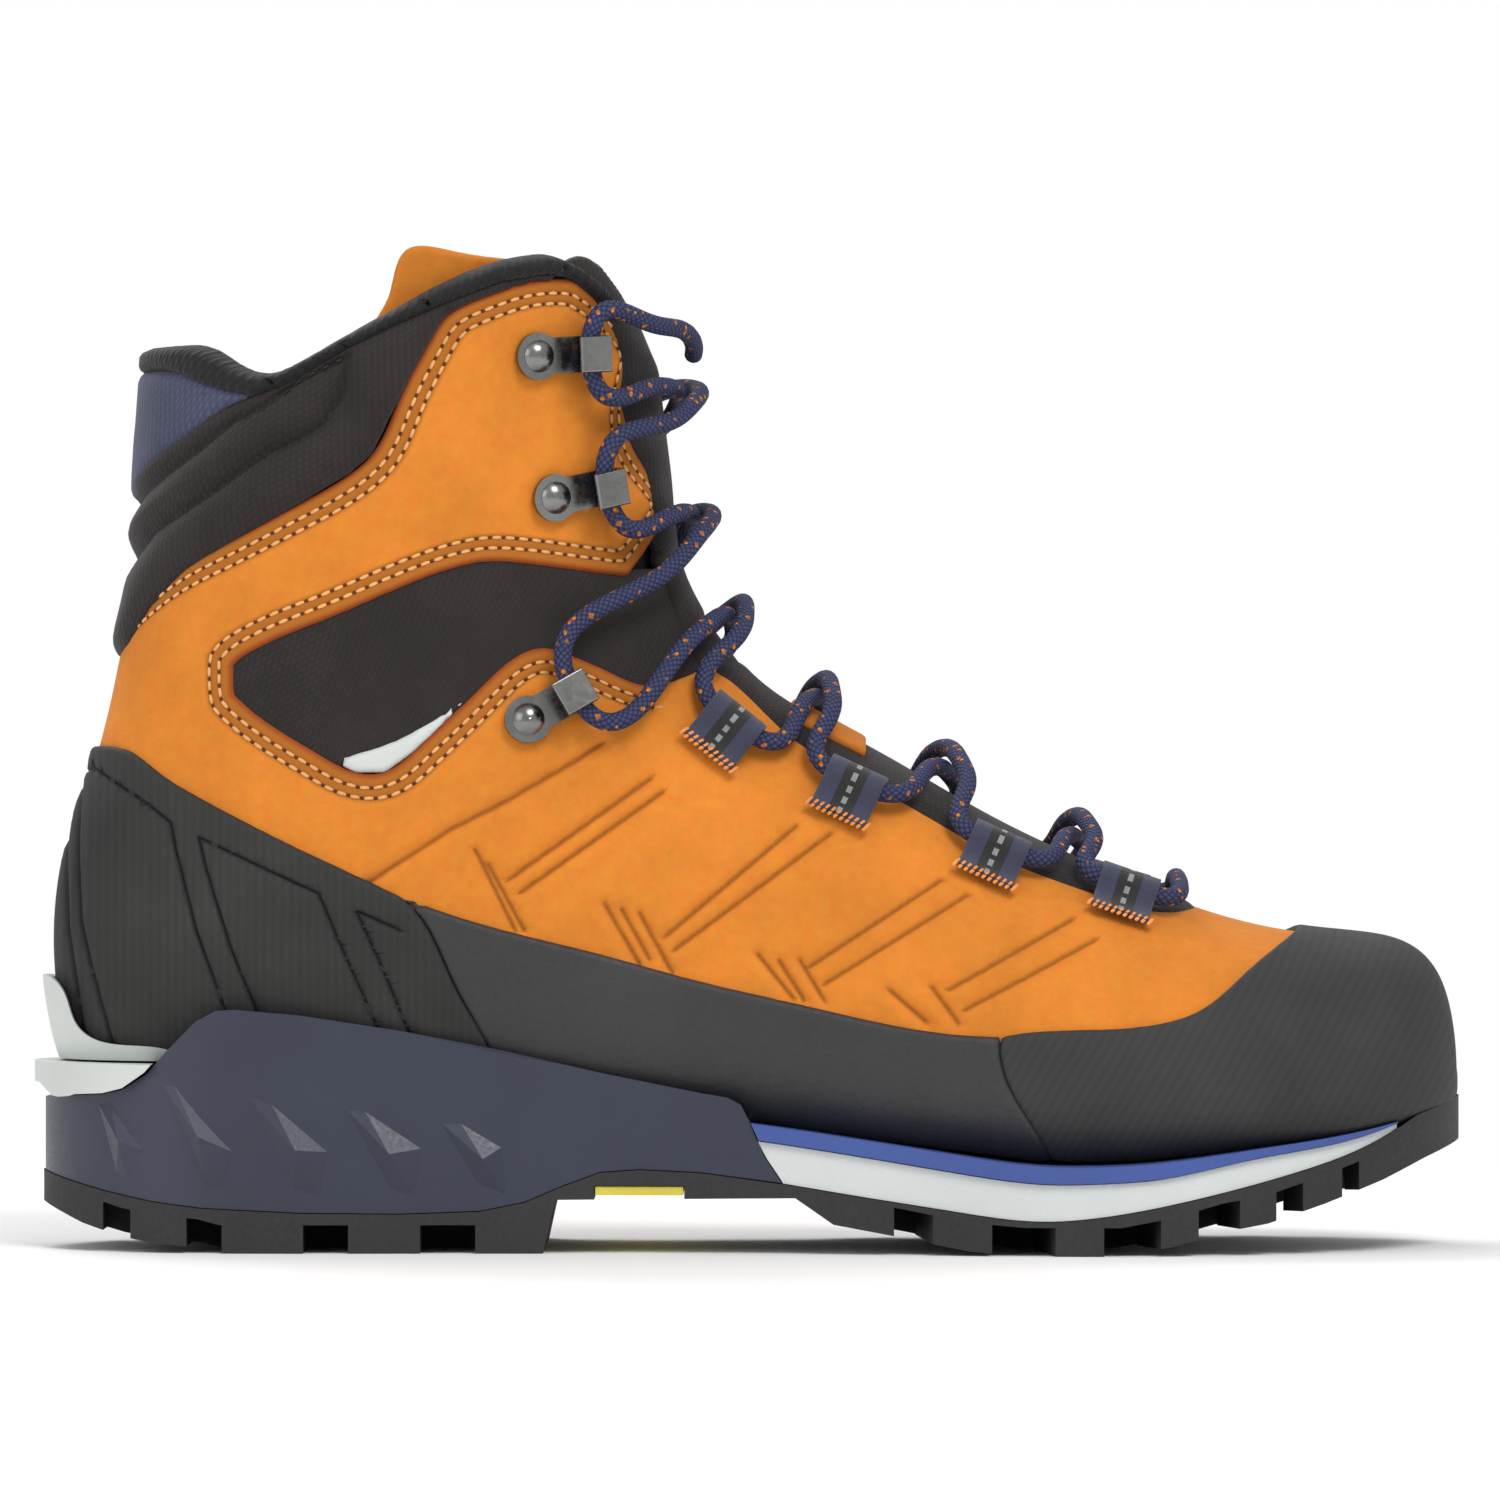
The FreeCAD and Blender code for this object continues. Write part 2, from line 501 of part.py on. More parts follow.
def box_run(x0, z0, x1, z1):
    """The four sides of a rectangle in side view."""
    return sharp([(x0, z0), (x1, z0), (x1, z1), (x0, z1)])


def insert_space():
    """The room for the arch insert, open to the ground."""
    (x0, x1), (_, high) = INSERT_SPAN, INSERT_LEVEL
    return block(*box_run(x0 - CLEARANCE, FAR_DOWN, x1 + CLEARANCE, high + CLEARANCE))


def outsole():
    tread = footprint(0.0).common(tread_outline())
    return biggest(tread.cut(lug_grooves()).cut(upper_hull()).cut(insert_space()))


def arch_insert():
    (x0, x1), (low, high) = INSERT_SPAN, INSERT_LEVEL
    return footprint(FRAME_GROW).common(block(*box_run(x0, low, x1, high)))


def frame_side():
    """Side view of the heel frame."""
    bottom = reverse(shifted(TREAD_TOP_HEEL[:-1], dz=CLEARANCE))
    return block(*sharp(FRAME_TOP), *sharp(FRAME_FRONT), *sharp(bottom))


def core_space(gap=0.0):
    """The room for the foam core inside the heel frame, open to the front; smaller by the gap."""
    floor = shifted(TREAD_TOP_HEEL, dz=FRAME_FLOOR + gap)
    ceiling = shifted([p for p in UPPER_BOTTOM if p[0] < 130.0], dz=1.0 - gap)
    return block(*sharp(floor + [(110.0, floor[-1][1])] + reverse(ceiling)))


def heel_frame():
    foot = footprint(FRAME_GROW).common(frame_side())
    wall = layer(LEATHER + RAND + CLEARANCE, LEATHER + RAND + FRAME_WALL).common(frame_side())
    body = foot.fuse(wall).cut(upper_hull())
    return biggest(body.cut(footprint(-FRAME_SIDE).common(core_space())))


def heel_core():
    foot = footprint(-FRAME_SIDE - CLEARANCE).common(frame_side())
    return biggest(foot.common(core_space(CLEARANCE)).cut(upper_hull()).cut(shank_plate(CLEARANCE)))


def shank_plate(grow):
    """Stiffening plate under the heel and the waist, following the upper's underside."""
    x0, x1 = SHANK_SPAN
    run = [(x, z) for x, z in UPPER_BOTTOM if x0 <= x <= x1]
    top = shifted(run, dz=-SHANK_DROP + grow)
    bottom = shifted(run, dz=-SHANK_DROP - SHANK_THICKNESS - grow)
    half = SHANK_HALF_WIDTH + grow
    plan = [(x0 - grow, -half), (x1 + grow, -half), (x1 + grow, half), (x0 - grow, half)]
    return block(top, reverse(bottom)).common(post(*sharp(plan)))


def midsole():
    side = block(shifted(STRIPE_BOTTOM, dz=-CLEARANCE), reverse(shifted(TREAD_TOP_TOE[:-1], dz=CLEARANCE)),
                 *sharp([(101.4, 15.1), (98.1, 20.0)]))
    return biggest(footprint(MIDSOLE_GROW).common(side).cut(upper_hull()))


def midsole_stripe():
    top = [p for p in UPPER_BOTTOM if 94.0 < p[0] < 225.0] + [(231.0, 27.4)]
    side = block(shifted(top, dx=CLEARANCE), reverse(shifted(STRIPE_BOTTOM, dx=CLEARANCE)))
    return biggest(footprint(STRIPE_GROW).common(side).cut(upper_hull()).cut(frame_side()))


def heel_cup():
    side = block(CUP_TOP, *sharp([(-28.3, 42.4), (-29.5, 40.1), (FAR_BACK, 40.3), (FAR_BACK, 56.3)]))
    shell = layer(LEATHER + RAND + CLEARANCE, LEATHER + RAND + CUP_WALL).common(side)
    return biggest(shell.cut(frame_side()))


def crampon_ledge():
    side = block(*sharp([(FAR_BACK, 39.9), (-31.5, 39.6), (-33.0, 37.9), (-37.8, 34.6), (-42.0, 33.5),
                         (-48.3, 33.1), (-50.8, 32.2), (-53.5, 32.6), (-56.5, 35.2), (FAR_BACK, 37.0)]))
    return biggest(footprint(LEDGE_GROW).common(side).cut(upper_hull()).cut(frame_side()))


# ---------------------------------------------------------------- the upper
def sole_opening(margin=LASTING_MARGIN):
    """The middle of the underside, which the lasted skins leave open."""
    under = [(FAR_BACK, 0), (FAR_FRONT, 0)] + reverse(shifted(UPPER_BOTTOM, dz=2.5))
    return footprint(-margin).common(block(*sharp(under)))


@cache
def rand_layer():
    return layer(LEATHER + CLEARANCE, LEATHER + RAND).cut(sole_opening())


@cache
def leather_layer():
    return layer(CLEARANCE, LEATHER).cut(sole_opening())


@cache
def padded_layer():
    return layer(CLEARANCE, COLLAR_PAD)


def toe_rand():
    top = [p for p in RAND_TOP if p[0] > 146.0]
    front = [(222.0, 80.0), (FAR_FRONT, 80.0), (FAR_FRONT, 0.0), (162.0, 0.0)]
    side = block(shifted(top, dx=CLEARANCE), *sharp(front), reverse(shifted(TOE_RAND_BACK, dx=CLEARANCE)))
    return biggest(rand_layer().common(side))


def side_rand():
    top = [p for p in RAND_TOP if 20.0 < p[0] < 148.0]
    side = block(top, TOE_RAND_BACK, *sharp([(162.0, 0.0), (49.0, 0.0)]), reverse(HEEL_RAND_FRONT))
    return biggest(rand_layer().common(side), 2)


def heel_rand():
    top = [p for p in RAND_TOP if p[0] < 22.0]
    back = [(48.0, 0.0), (FAR_BACK, 0.0), (FAR_BACK, 103.0)]
    side = block(shifted(top, dx=-CLEARANCE), shifted(HEEL_RAND_FRONT, dx=-CLEARANCE), *sharp(back))
    return biggest(rand_layer().common(side))


# Side-view regions shared by several pieces
def neck_run(opening):
    """The gap behind the ankle where the shaft flexes: its upper (+1) or lower (-1) edge, back to front."""
    x, z = ANKLE_AXIS
    rise = [(FAR_BACK + 20.0 - x, 2.2), (0.0, 0.2), (-15.2 - x, 1.6)]
    return [(x + dx, z + opening * dz) for dx, dz in rise]


def slab_run(side):
    """Upper (+1) or lower (-1) limit of the band in which the skins bend with the ankle."""
    x, z = ANKLE_AXIS
    slope = math.tan(math.radians(SLAB_SLOPE))
    half = side * 0.5 * SLAB_THICKNESS / math.cos(math.radians(SLAB_SLOPE))
    return [(px, z + (px - x) * slope + half) for px in (FAR_BACK, FAR_FRONT)]


def above(run):
    return block(*sharp(run), *sharp([(run[-1][0], FAR_UP), (run[0][0], FAR_UP)]))


def below(run):
    return block(*sharp(run), *sharp([(run[-1][0], FAR_DOWN), (run[0][0], FAR_DOWN)]))


def under_rim(drop):
    """Everything below the boot's top edge, this much lower."""
    front = [(TONGUE_TOP[-1][0] + 0.1, FAR_UP / 2), (FAR_FRONT, FAR_UP / 2)]
    edge = [(FAR_BACK, RIM[0][1])] + RIM + TONGUE_TOP[3:] + front
    return below(shifted(edge, dz=-drop))


def throat_zone(back_by=0.0):
    """The open front of the shaft, above the ankle."""
    edge = shifted(SHAFT_THROAT, dx=CLEARANCE - back_by)
    front = [(edge[-1][0], FAR_UP), (120.0, FAR_UP), (120.0, THROAT_LOW), (edge[0][0], THROAT_LOW)]
    return block(edge, *sharp(front))


def membrane_bootie():
    return biggest(layer(-MEMBRANE, 0.0).common(under_rim(UNDER_RIM["membrane"])))


def lining_layer(region):
    return biggest(layer(-CAVITY, -CAVITY + LINING).common(region))


def foot_lining():
    return lining_layer(below(slab_run(-1)))


def ankle_lining():
    band = above(shifted(slab_run(-1), dz=CLEARANCE)).common(below(shifted(slab_run(1), dz=-CLEARANCE)))
    return lining_layer(band.cut(throat_zone(THROAT_SWEEP)))


def cuff_lining():
    region = above(slab_run(1)).common(under_rim(UNDER_RIM["lining"]))
    return lining_layer(region.cut(throat_zone(THROAT_SWEEP)))


def stiffener(region):
    outside = -MEMBRANE - 2 * CLEARANCE
    return biggest(layer(outside - STIFFENER, outside).common(region))


def board_zone(gap=0.0):
    """The lasting board's share of the stiffening layer."""
    return below(shifted(UPPER_BOTTOM, dz=BOARD_HEIGHT + gap))


def heel_counter():
    side = [(FAR_BACK, 20.0), (26.0, 20.0), (20.0, 62.0), (-8.0, 84.0), (-24.0, 92.0), (FAR_BACK, 92.0)]
    return stiffener(block(*sharp(side)).cut(board_zone(BOARD_GAP)))


def toe_puff():
    side = [(196.0, 5.0), (FAR_FRONT, 5.0), (FAR_FRONT, 90.0), (212.0, 90.0), (204.0, 60.0)]
    return stiffener(block(*sharp(side)).cut(board_zone(BOARD_GAP)))


def lasting_board():
    return stiffener(board_zone())


def collar_foam():
    low = [(FAR_BACK, 124.0)] + shifted(LEATHER_TOP, dx=-2.0, dz=3.0) + [(60.0, 203.0)]
    shaft = block(*box_run(FAR_BACK, 100.0, 44.0, FAR_UP))
    return stiffener(above(low).common(under_rim(UNDER_RIM["foam"])).common(shaft))


def footbed():
    low = shifted(UPPER_BOTTOM, dz=FOOTBED_SEAT)
    slab = above(low).common(below(shifted(low, dz=FOOTBED)))
    behind_axis = block(*box_run(FAR_BACK, 0.0, FOOTBED_AXIS[0], 90.0))
    return biggest(skin(-CAVITY - 2 * CLEARANCE).common(slab).common(behind_axis))


def vamp_leather():
    neck = neck_run(-1)
    window = [p for p in WINDOW_BOTTOM if p[0] > -15.0]
    side = block(*sharp(neck), window, THROAT,
                 *sharp([(190.0, 90.0), (FAR_FRONT, 90.0), (FAR_FRONT, 0.0), (neck[0][0], 0.0)]))
    return biggest(leather_layer().common(side))


def cuff_zone():
    """Side view of the cuff's leather."""
    neck = neck_run(1)
    return block(*sharp(neck), reverse(CUFF_BOTTOM)[1:], reverse(LEATHER_FRONT), reverse(LEATHER_TOP),
                 *sharp([(-45.0, 122.4), (neck[0][0], 122.4)]))


def cuff_leather():
    return biggest(layer(CLEARANCE, LEATHER).common(cuff_zone()))


def window_zone():
    """Side view of the softshell window between cuff and vamp."""
    behind = [p for p in WINDOW_BOTTOM if -15.0 < p[0] < 5.0]
    before = [p for p in WINDOW_BOTTOM if p[0] > 40.0]
    low = behind + ACCENT_TOP + before
    return block(shifted(reverse(CUFF_BOTTOM)[1:], dz=-CLEARANCE), *sharp([(78.6, 143.0), (83.7, 130.2)]),
                 reverse(shifted(low, dz=CLEARANCE)))


def ankle_softshell():
    window = window_zone().cut(tongue_lower_zone(CLEARANCE))
    return biggest(layer(CLEARANCE, SOFTSHELL).common(window), 2)


def ankle_accent():
    low = [p for p in WINDOW_BOTTOM if 8.0 < p[0] < 38.0]
    side = block(ACCENT_TOP, *sharp(shifted(reverse(low), dz=CLEARANCE)))
    window = window_zone()
    window.translate(V(0, 0, -0.5 * CLEARANCE))
    return biggest(layer(CLEARANCE, ACCENT).common(side.cut(window)), 2)


def collar():
    low = shifted([(-45.0, 122.4)] + LEATHER_TOP, dx=-0.15, dz=0.25)
    side = block(*sharp([(FAR_BACK, 122.65), low[0]]), *sharp(low), *sharp([(56.0, 205.4)]),
                 *sharp(reverse(shifted(RIM_LOW[:-2], dz=-CLEARANCE))),
                 *sharp([(FAR_BACK, 184.0)]))
    leather = cuff_zone()
    leather.translate(V(-0.1, 0, 0.15))
    return biggest(padded_layer().common(side.cut(leather)).cut(panel_zone(CLEARANCE)))


def panel_zone(grow=0.0):
    edge = shifted(COLLAR_PANEL_EDGE, dz=-grow, dx=grow)
    return block(*sharp([(FAR_BACK, 152.0 - grow)] + edge[:1]), edge,
                 *sharp([(-9.5 + grow, 182.0), (-9.5 + grow, 195.0), (FAR_BACK, 195.0)]))


def heel_collar_panel():
    low_rim = shifted([(FAR_BACK, 184.3)] + RIM_LOW[:6], dz=-CLEARANCE)
    return biggest(padded_layer().common(panel_zone()).common(below(low_rim)))


def collar_rim():
    side = block(*sharp(RIM_LOW), *sharp([(65.5, 197.8), (60.5, 204.2), (56.5, 207.8), (52.5, 209.6)]),
                 reverse([p for p in RIM if p[0] < 52.6]), *sharp([(-45.0, 189.4)]))
    return biggest(padded_layer().common(side))


def tongue_top_zone():
    """Below the slanted top edge of the tongue."""
    return below([(0.0, 222.0)] + TONGUE_TOP + [(90.0, 150.0)])


def tongue_upper():
    return biggest(layer(0.3, TONGUE_PAD).common(throat_zone()).common(tongue_top_zone()))


def tongue_lining():
    side = block(*sharp([(56.0, 151.0), (90.0, 151.0), (90.0, 182.6), (40.0, 182.6)]))
    return biggest(layer(*TONGUE_BACK).common(side))


def tongue_top_flap():
    side = block(FLAP_TOP, *sharp([(66.0, 199.0), (80.0, 183.0), (18.0, 183.0)]))
    return biggest(layer(*TONGUE_BACK).common(side).common(tongue_top_zone()))


def tongue_lower_zone(back_by=0.0):
    """The open instep, up to the ankle."""
    edge = shifted(reverse(THROAT), dx=0.25 - back_by, dz=CLEARANCE)
    rest = shifted(ANKLE_THROAT, dx=CLEARANCE - back_by)
    return block(edge, *sharp([edge[-1], rest[0]]), rest,
                 *sharp([(120.0, 146.5), (120.0, 125.0), (192.0, 90.0)]))


def tongue_lower():
    return biggest(layer(CLEARANCE, TONGUE_PAD).common(tongue_lower_zone()))


def tongue_patch():
    side = block(*box_run(104.0, 90.0, 119.0, 125.0), half=15.0)
    return biggest(layer(TONGUE_PAD + CLEARANCE, PATCH).common(side))


# ---------------------------------------------------------------- lacing hardware and lace
def hook(spec, side):
    """Lace hook of bent sheet: base under the rivet, front wall, head curled back over the lace."""
    (x, z), slope = spec
    h = HOOK_STOCK
    head = h + HOOK_GAP
    wall, lip = HOOK_REACH - h, HOOK_REACH - HOOK_HEAD
    rise = 0.6          # of the head, towards its lip
    profile = [(-HOOK_TAIL, 0.0), (HOOK_REACH, 0.0), (HOOK_REACH, head + h), (lip, head + h + rise),
               (lip, head + rise), (wall, head), (wall, h), (-HOOK_TAIL, h)]
    body = block(*sharp(profile), half=0.5 * HOOK_WIDTH)
    body = body.fuse(Part.makeCylinder(HOOK_BASE_R, h)).removeSplitter()
    body = body.cut(Part.makeCylinder(RIVET_SHANK_R + 0.05, 4 * h, V(0, 0, -h)))
    top_edges = [e for e in body.Edges if abs(e.CenterOfMass.z - head - h) < 0.7 and e.Length > 5]
    return placed(body.makeFillet(HOOK_ROUNDING, top_edges), x, z, slope, side)


def placed(body, x, z, slope, side, t=LEATHER + CLEARANCE):
    point, normal = on_skin(x, z, side, t)
    body = body.copy()
    body.transformShape(frame_at(point + normal * SEAT_LIFT, normal, slope, side))
    return body


def rivet(spec, side):
    """Domed head over the hook's base, shank down to the leather."""
    (x, z), slope = spec
    seat = HOOK_STOCK + 0.1
    dome = Part.makeSphere(RIVET_DOME_R, V(0, 0, seat - RIVET_DOME_DROP), V(0, 0, 1), 0, 90, 360)
    dome = dome.common(Part.makeCylinder(RIVET_HEAD_R, 5.0, V(0, 0, seat)))
    shank = Part.makeCylinder(RIVET_SHANK_R, HOOK_STOCK + 0.6)
    return placed(dome.fuse(shank).removeSplitter(), x, z, slope, side)


def on_both_sides(make, names):
    return Part.makeCompound([make(HOOKS[n], side) for n in names for side in (-1, 1)])


def loop_place(i):
    """Centre and slope of webbing loop i, along the leather's edge at the throat."""
    x, z = LOOPS[i]
    nearest = min(range(1, len(THROAT) - 1), key=lambda k: abs(THROAT[k][0] - x))
    (x0, z0), (x1, z1) = THROAT[nearest - 1], THROAT[nearest + 1]
    return x, z, math.degrees(math.atan2(z1 - z0, x1 - x0))


def lace_loop(i, side):
    """Webbing folded round the lace, with its flat tail stitched to the leather below."""
    x, z, slope = loop_place(i)
    inner = LACE_R + LACE_AIR
    outer = inner + WEBBING
    half = 0.5 * LOOP_LENGTH
    tube = Part.makeCylinder(outer, LOOP_LENGTH, V(-half, 0, outer), V(1, 0, 0))
    tail = Part.makeBox(LOOP_LENGTH, TAIL_LENGTH, WEBBING, V(-half, -TAIL_LENGTH if side < 0 else 0, 0))
    bore = Part.makeCylinder(inner, LOOP_LENGTH + 2, V(-half - 1, 0, outer), V(1, 0, 0))
    return placed(tube.fuse(tail).cut(bore), x, z, slope, side)


def lace_loops(side):
    return Part.makeCompound([lace_loop(i, side) for i in range(len(LOOPS))])


def local_point(x, z, slope, side, local):
    point, normal = on_skin(x, z, side, LEATHER + CLEARANCE)
    return frame_at(point + normal * SEAT_LIFT, normal, slope, side).multVec(V(*local))


def loop_pass(i, side):
    """Points of the lace through webbing loop i, from its upper to its lower end."""
    x, z, slope = loop_place(i)
    height = LACE_R + LACE_AIR + WEBBING
    inward = 1 if side < 0 else -1
    leave_x, leave_y = LOOP_LEAVE
    straight = 0.5 * LOOP_LENGTH
    return [local_point(x, z, slope, side, (dx, inward * dy, height))
            for dx, dy in ((-leave_x, leave_y), (-straight, 0), (0, 0), (straight, 0), (leave_x, leave_y))]


def hook_pass(name, side):
    """Points of the lace under a hook's head, from above the hook to below it."""
    (x, z), slope = HOOKS[name]
    height = HOOK_STOCK + LACE_R + 0.35
    reach = HOOK_REACH - HOOK_STOCK - LACE_R - 0.3
    up = 1 if side < 0 else -1
    return [local_point(x, z, slope, side, (dx, up * dy, height))
            for dx, dy in ((reach + 1.5, 8.0), (reach, 3.5), (reach, -3.5), (reach + 1.5, -8.0))]


def section_at(point):
    """Number, with its fraction, of the section through this point of the side view."""
    def offside(k):
        i = min(int(k), len(SECTIONS) - 2)
        fx, fz = (mix(FRONT[i][j], FRONT[i + 1][j], k - i) for j in (0, 1))
        bx, bz = (mix(BACK[i][j], BACK[i + 1][j], k - i) for j in (0, 1))
        return ((bx - fx) * (point.z - fz) - (bz - fz) * (point.x - fx)) / math.hypot(bx - fx, bz - fz)
    low, high = 4.0, len(SECTIONS) - 1.0
    for _ in range(30):
        middle = 0.5 * (low + high)
        low, high = (middle, high) if (offside(middle) > 0) == (offside(4.0) > 0) else (low, middle)
    return low


def on_front(number, y, t):
    """The point of skin(t) in front of or above the foot, in this section at this y."""
    i = min(int(number), len(SECTIONS) - 2)
    share = number - i

    def end_point(line, out):
        return [mix(line[i][j] + out[i][j] * t, line[i + 1][j] + out[i + 1][j] * t, share) for j in (0, 1)]
    front, back = end_point(FRONT, FRONT_OUT), end_point(BACK, BACK_OUT)
    widest, power, _, lean = section_form(number)
    across = y - lean
    width = 2 if across < 0 else 3
    half = mix(SECTIONS[i][width], SECTIONS[i + 1][width], share) + t
    used = min(0.97, abs(across) / half)
    along = widest * (1 - (1 - used ** power) ** (1 / power))
    return V(mix(front[0], back[0], along), y, mix(front[1], back[1], along))


def crossing(start, end, over):
    """Points of the lace across the tongue, over or under the other strand."""
    points = []
    for k in range(1, CROSSING_STEPS):
        share = k / CROSSING_STEPS
        hump = math.sin(math.pi * share) if over else 0.0
        t = TONGUE_PAD + LACE_R + STRAND_LIFT + hump * (2 * LACE_R + STRAND_AIR)
        number = mix(section_at(start), section_at(end), share)
        points.append(on_front(number, mix(start.y, end.y, share), t))
    return points


def lace_path():
    """From the inner side of the shaft's top down one way and up the other, crossing over the tongue."""
    going_up = [("loop", 2), ("loop", 1), ("loop", 0), ("hook", "ankle"), ("hook", "mid"), ("hook", "top")]
    strands = []
    for start in (-1, 1):
        side = start
        points = reverse(loop_pass(3, side))
        for level, (kind, which) in enumerate(going_up):
            side = -side
            held = reverse(hook_pass(which, side) if kind == "hook" else loop_pass(which, side))
            points += crossing(points[-1], held[0], (level % 2 == 0) == (start < 0)) + held
        strands.append(points)
    outer, inner = sorted(strands, key=lambda points: points[-1].y)
    beyond = local_point(*LACE_END, 0.0, 1, (0, 0, LACE_R + LACE_AIR))
    outer += crossing(outer[-1], beyond, True)[:4]
    first, second = reverse(inner), outer
    bottom = crossing(first[-1], second[0], False)
    return first + bottom + second


def lace():
    return cord(lace_path(), LACE_R)


NODES = {
    "outsole": outsole, "arch_insert": arch_insert, "heel_frame": heel_frame, "heel_core": heel_core,
    "shank": lambda: shank_plate(0.0), "midsole": midsole, "midsole_stripe": midsole_stripe,
    "heel_cup": heel_cup, "crampon_ledge": crampon_ledge, "toe_rand": toe_rand, "side_rand": side_rand,
    "heel_rand": heel_rand, "vamp_leather": vamp_leather, "cuff_leather": cuff_leather,
    "ankle_softshell": ankle_softshell, "ankle_accent": ankle_accent, "collar": collar,
    "heel_collar_panel": heel_collar_panel, "collar_rim": collar_rim, "tongue_upper": tongue_upper,
    "tongue_lining": tongue_lining, "tongue_top_flap": tongue_top_flap, "tongue_lower": tongue_lower,
    "tongue_patch": tongue_patch, "membrane_bootie": membrane_bootie, "foot_lining": foot_lining,
    "ankle_lining": ankle_lining, "cuff_lining": cuff_lining, "heel_counter": heel_counter,
    "toe_puff": toe_puff, "lasting_board": lasting_board, "collar_foam": collar_foam, "footbed": footbed,
    "cuff_hooks": lambda: on_both_sides(hook, ("top", "mid")),
    "cuff_rivets": lambda: on_both_sides(rivet, ("top", "mid")),
    "ankle_hooks": lambda: on_both_sides(hook, ("ankle",)),
    "ankle_rivets": lambda: on_both_sides(rivet, ("ankle",)),
    "lace_loops_outer": lambda: lace_loops(-1), "lace_loops_inner": lambda: lace_loops(1),
    "lace": lace,
}

if __name__ == "__main__":
    for node_name, make in NODES.items():
        save(node_name, make())
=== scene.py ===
"""Looks of the mountaineering boot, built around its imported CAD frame.

The upper's panels are grown on one reference surface, sampled from the CAD membrane bootie:
each CAD panel says where its visual panel goes, and the panel gets thickness, rounded edges,
padding, seams and stitches here.  Sizes are in metres; MM is one millimetre of a boot this long.
"""
import heapq
import json
import math

import bpy
import numpy as np
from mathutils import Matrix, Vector
from mathutils.bvhtree import BVHTree
from mathutils.kdtree import KDTree


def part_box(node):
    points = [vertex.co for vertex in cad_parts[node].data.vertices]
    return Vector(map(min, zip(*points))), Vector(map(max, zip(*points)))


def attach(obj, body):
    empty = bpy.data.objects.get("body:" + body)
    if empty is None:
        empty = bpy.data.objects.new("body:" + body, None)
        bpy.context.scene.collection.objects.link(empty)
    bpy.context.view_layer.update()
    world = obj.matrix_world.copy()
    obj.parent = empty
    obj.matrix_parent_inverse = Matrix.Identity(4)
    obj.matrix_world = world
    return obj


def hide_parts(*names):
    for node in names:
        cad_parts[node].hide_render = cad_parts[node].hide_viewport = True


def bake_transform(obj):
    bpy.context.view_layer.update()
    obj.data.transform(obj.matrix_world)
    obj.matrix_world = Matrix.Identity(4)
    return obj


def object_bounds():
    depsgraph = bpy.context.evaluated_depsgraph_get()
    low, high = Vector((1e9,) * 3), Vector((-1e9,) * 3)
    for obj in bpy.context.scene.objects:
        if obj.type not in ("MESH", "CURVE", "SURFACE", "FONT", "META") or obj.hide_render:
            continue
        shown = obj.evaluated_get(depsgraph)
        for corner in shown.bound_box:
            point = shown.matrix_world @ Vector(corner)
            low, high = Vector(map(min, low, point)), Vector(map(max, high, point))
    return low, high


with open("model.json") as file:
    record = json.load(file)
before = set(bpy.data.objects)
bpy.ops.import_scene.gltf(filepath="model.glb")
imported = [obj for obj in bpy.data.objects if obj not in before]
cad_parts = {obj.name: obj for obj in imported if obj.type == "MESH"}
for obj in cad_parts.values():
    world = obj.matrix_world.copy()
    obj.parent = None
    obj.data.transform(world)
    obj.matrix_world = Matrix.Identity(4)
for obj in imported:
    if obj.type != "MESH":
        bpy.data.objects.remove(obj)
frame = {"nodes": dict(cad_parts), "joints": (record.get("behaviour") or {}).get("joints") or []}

# ---------------------------------------------------------------- sizes, from the frame
CAD_LOW, CAD_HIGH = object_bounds()
MM = (CAD_HIGH.x - CAD_LOW.x) / 304.4
ANKLE = next(j["pos_m"] for j in frame["joints"] if j["name"] == "ankle_flex")
RIM_LOW_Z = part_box("heel_collar_panel")[1].z

FAN_CENTRE = (112 * MM, 152 * MM)     # x, z: the sections of the ankle radiate from here
TOE_ROWS, FAN_ROWS, SHAFT_ROWS = 116, 132, 76
COLUMNS = 264
TOP_Z = 217 * MM
SAMPLED_Z = 176 * MM                  # above this the shaft is continued straight
FAR = 400 * MM
SEAM_SHIFT = 0.4 * MM                 # rays run beside the seam of the CAD skin, not through it


def ease(x, low, high):
    """0 below low, 1 above high, smooth between; works on arrays."""
    share = np.clip((x - low) / (high - low), 0, 1)
    return share * share * (3 - 2 * share)


# ---------------------------------------------------------------- the reference surface
def tree_of(*names):
    """Ray-casting tree of these CAD nodes together."""
    points, faces = [], []
    for name in names:
        data = frame["nodes"][name].data
        start = len(points)
        points += [v.co.copy() for v in data.vertices]
        faces += [[start + i for i in p.vertices] for p in data.polygons]
    return BVHTree.FromPolygons(points, faces)


def section_lines():
    """Start and direction, in side view, of the line across each section from front to back."""
    x0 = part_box("membrane_bootie")[1].x - 0.15 * MM
    cx, cz = FAN_CENTRE
    lines = []
    for k in range(TOE_ROWS):
        share = math.sin(0.5 * math.pi * (1 - k / TOE_ROWS))
        lines.append((cx + (x0 - cx) * share, cz, 0.0, -1.0))
    for k in range(FAN_ROWS):
        a = 0.5 * math.pi * (k + 0.3) / FAN_ROWS
        lines.append((cx, cz, -math.sin(a), -math.cos(a)))
    for k in range(SHAFT_ROWS):
        lines.append((cx, cz + (TOP_Z - cz) * k / (SHAFT_ROWS - 1), -1.0, 0.0))
    return lines


def fill_gaps(values):
    """Straight interpolation down the first axis wherever a value is missing."""
    rows = np.arange(len(values))
    flat = values.reshape(len(values), -1)
    for column in flat.T:
        known = ~np.isnan(column)
        column[~known] = np.interp(rows[~known], rows[known], column[known])
    return flat.reshape(values.shape)


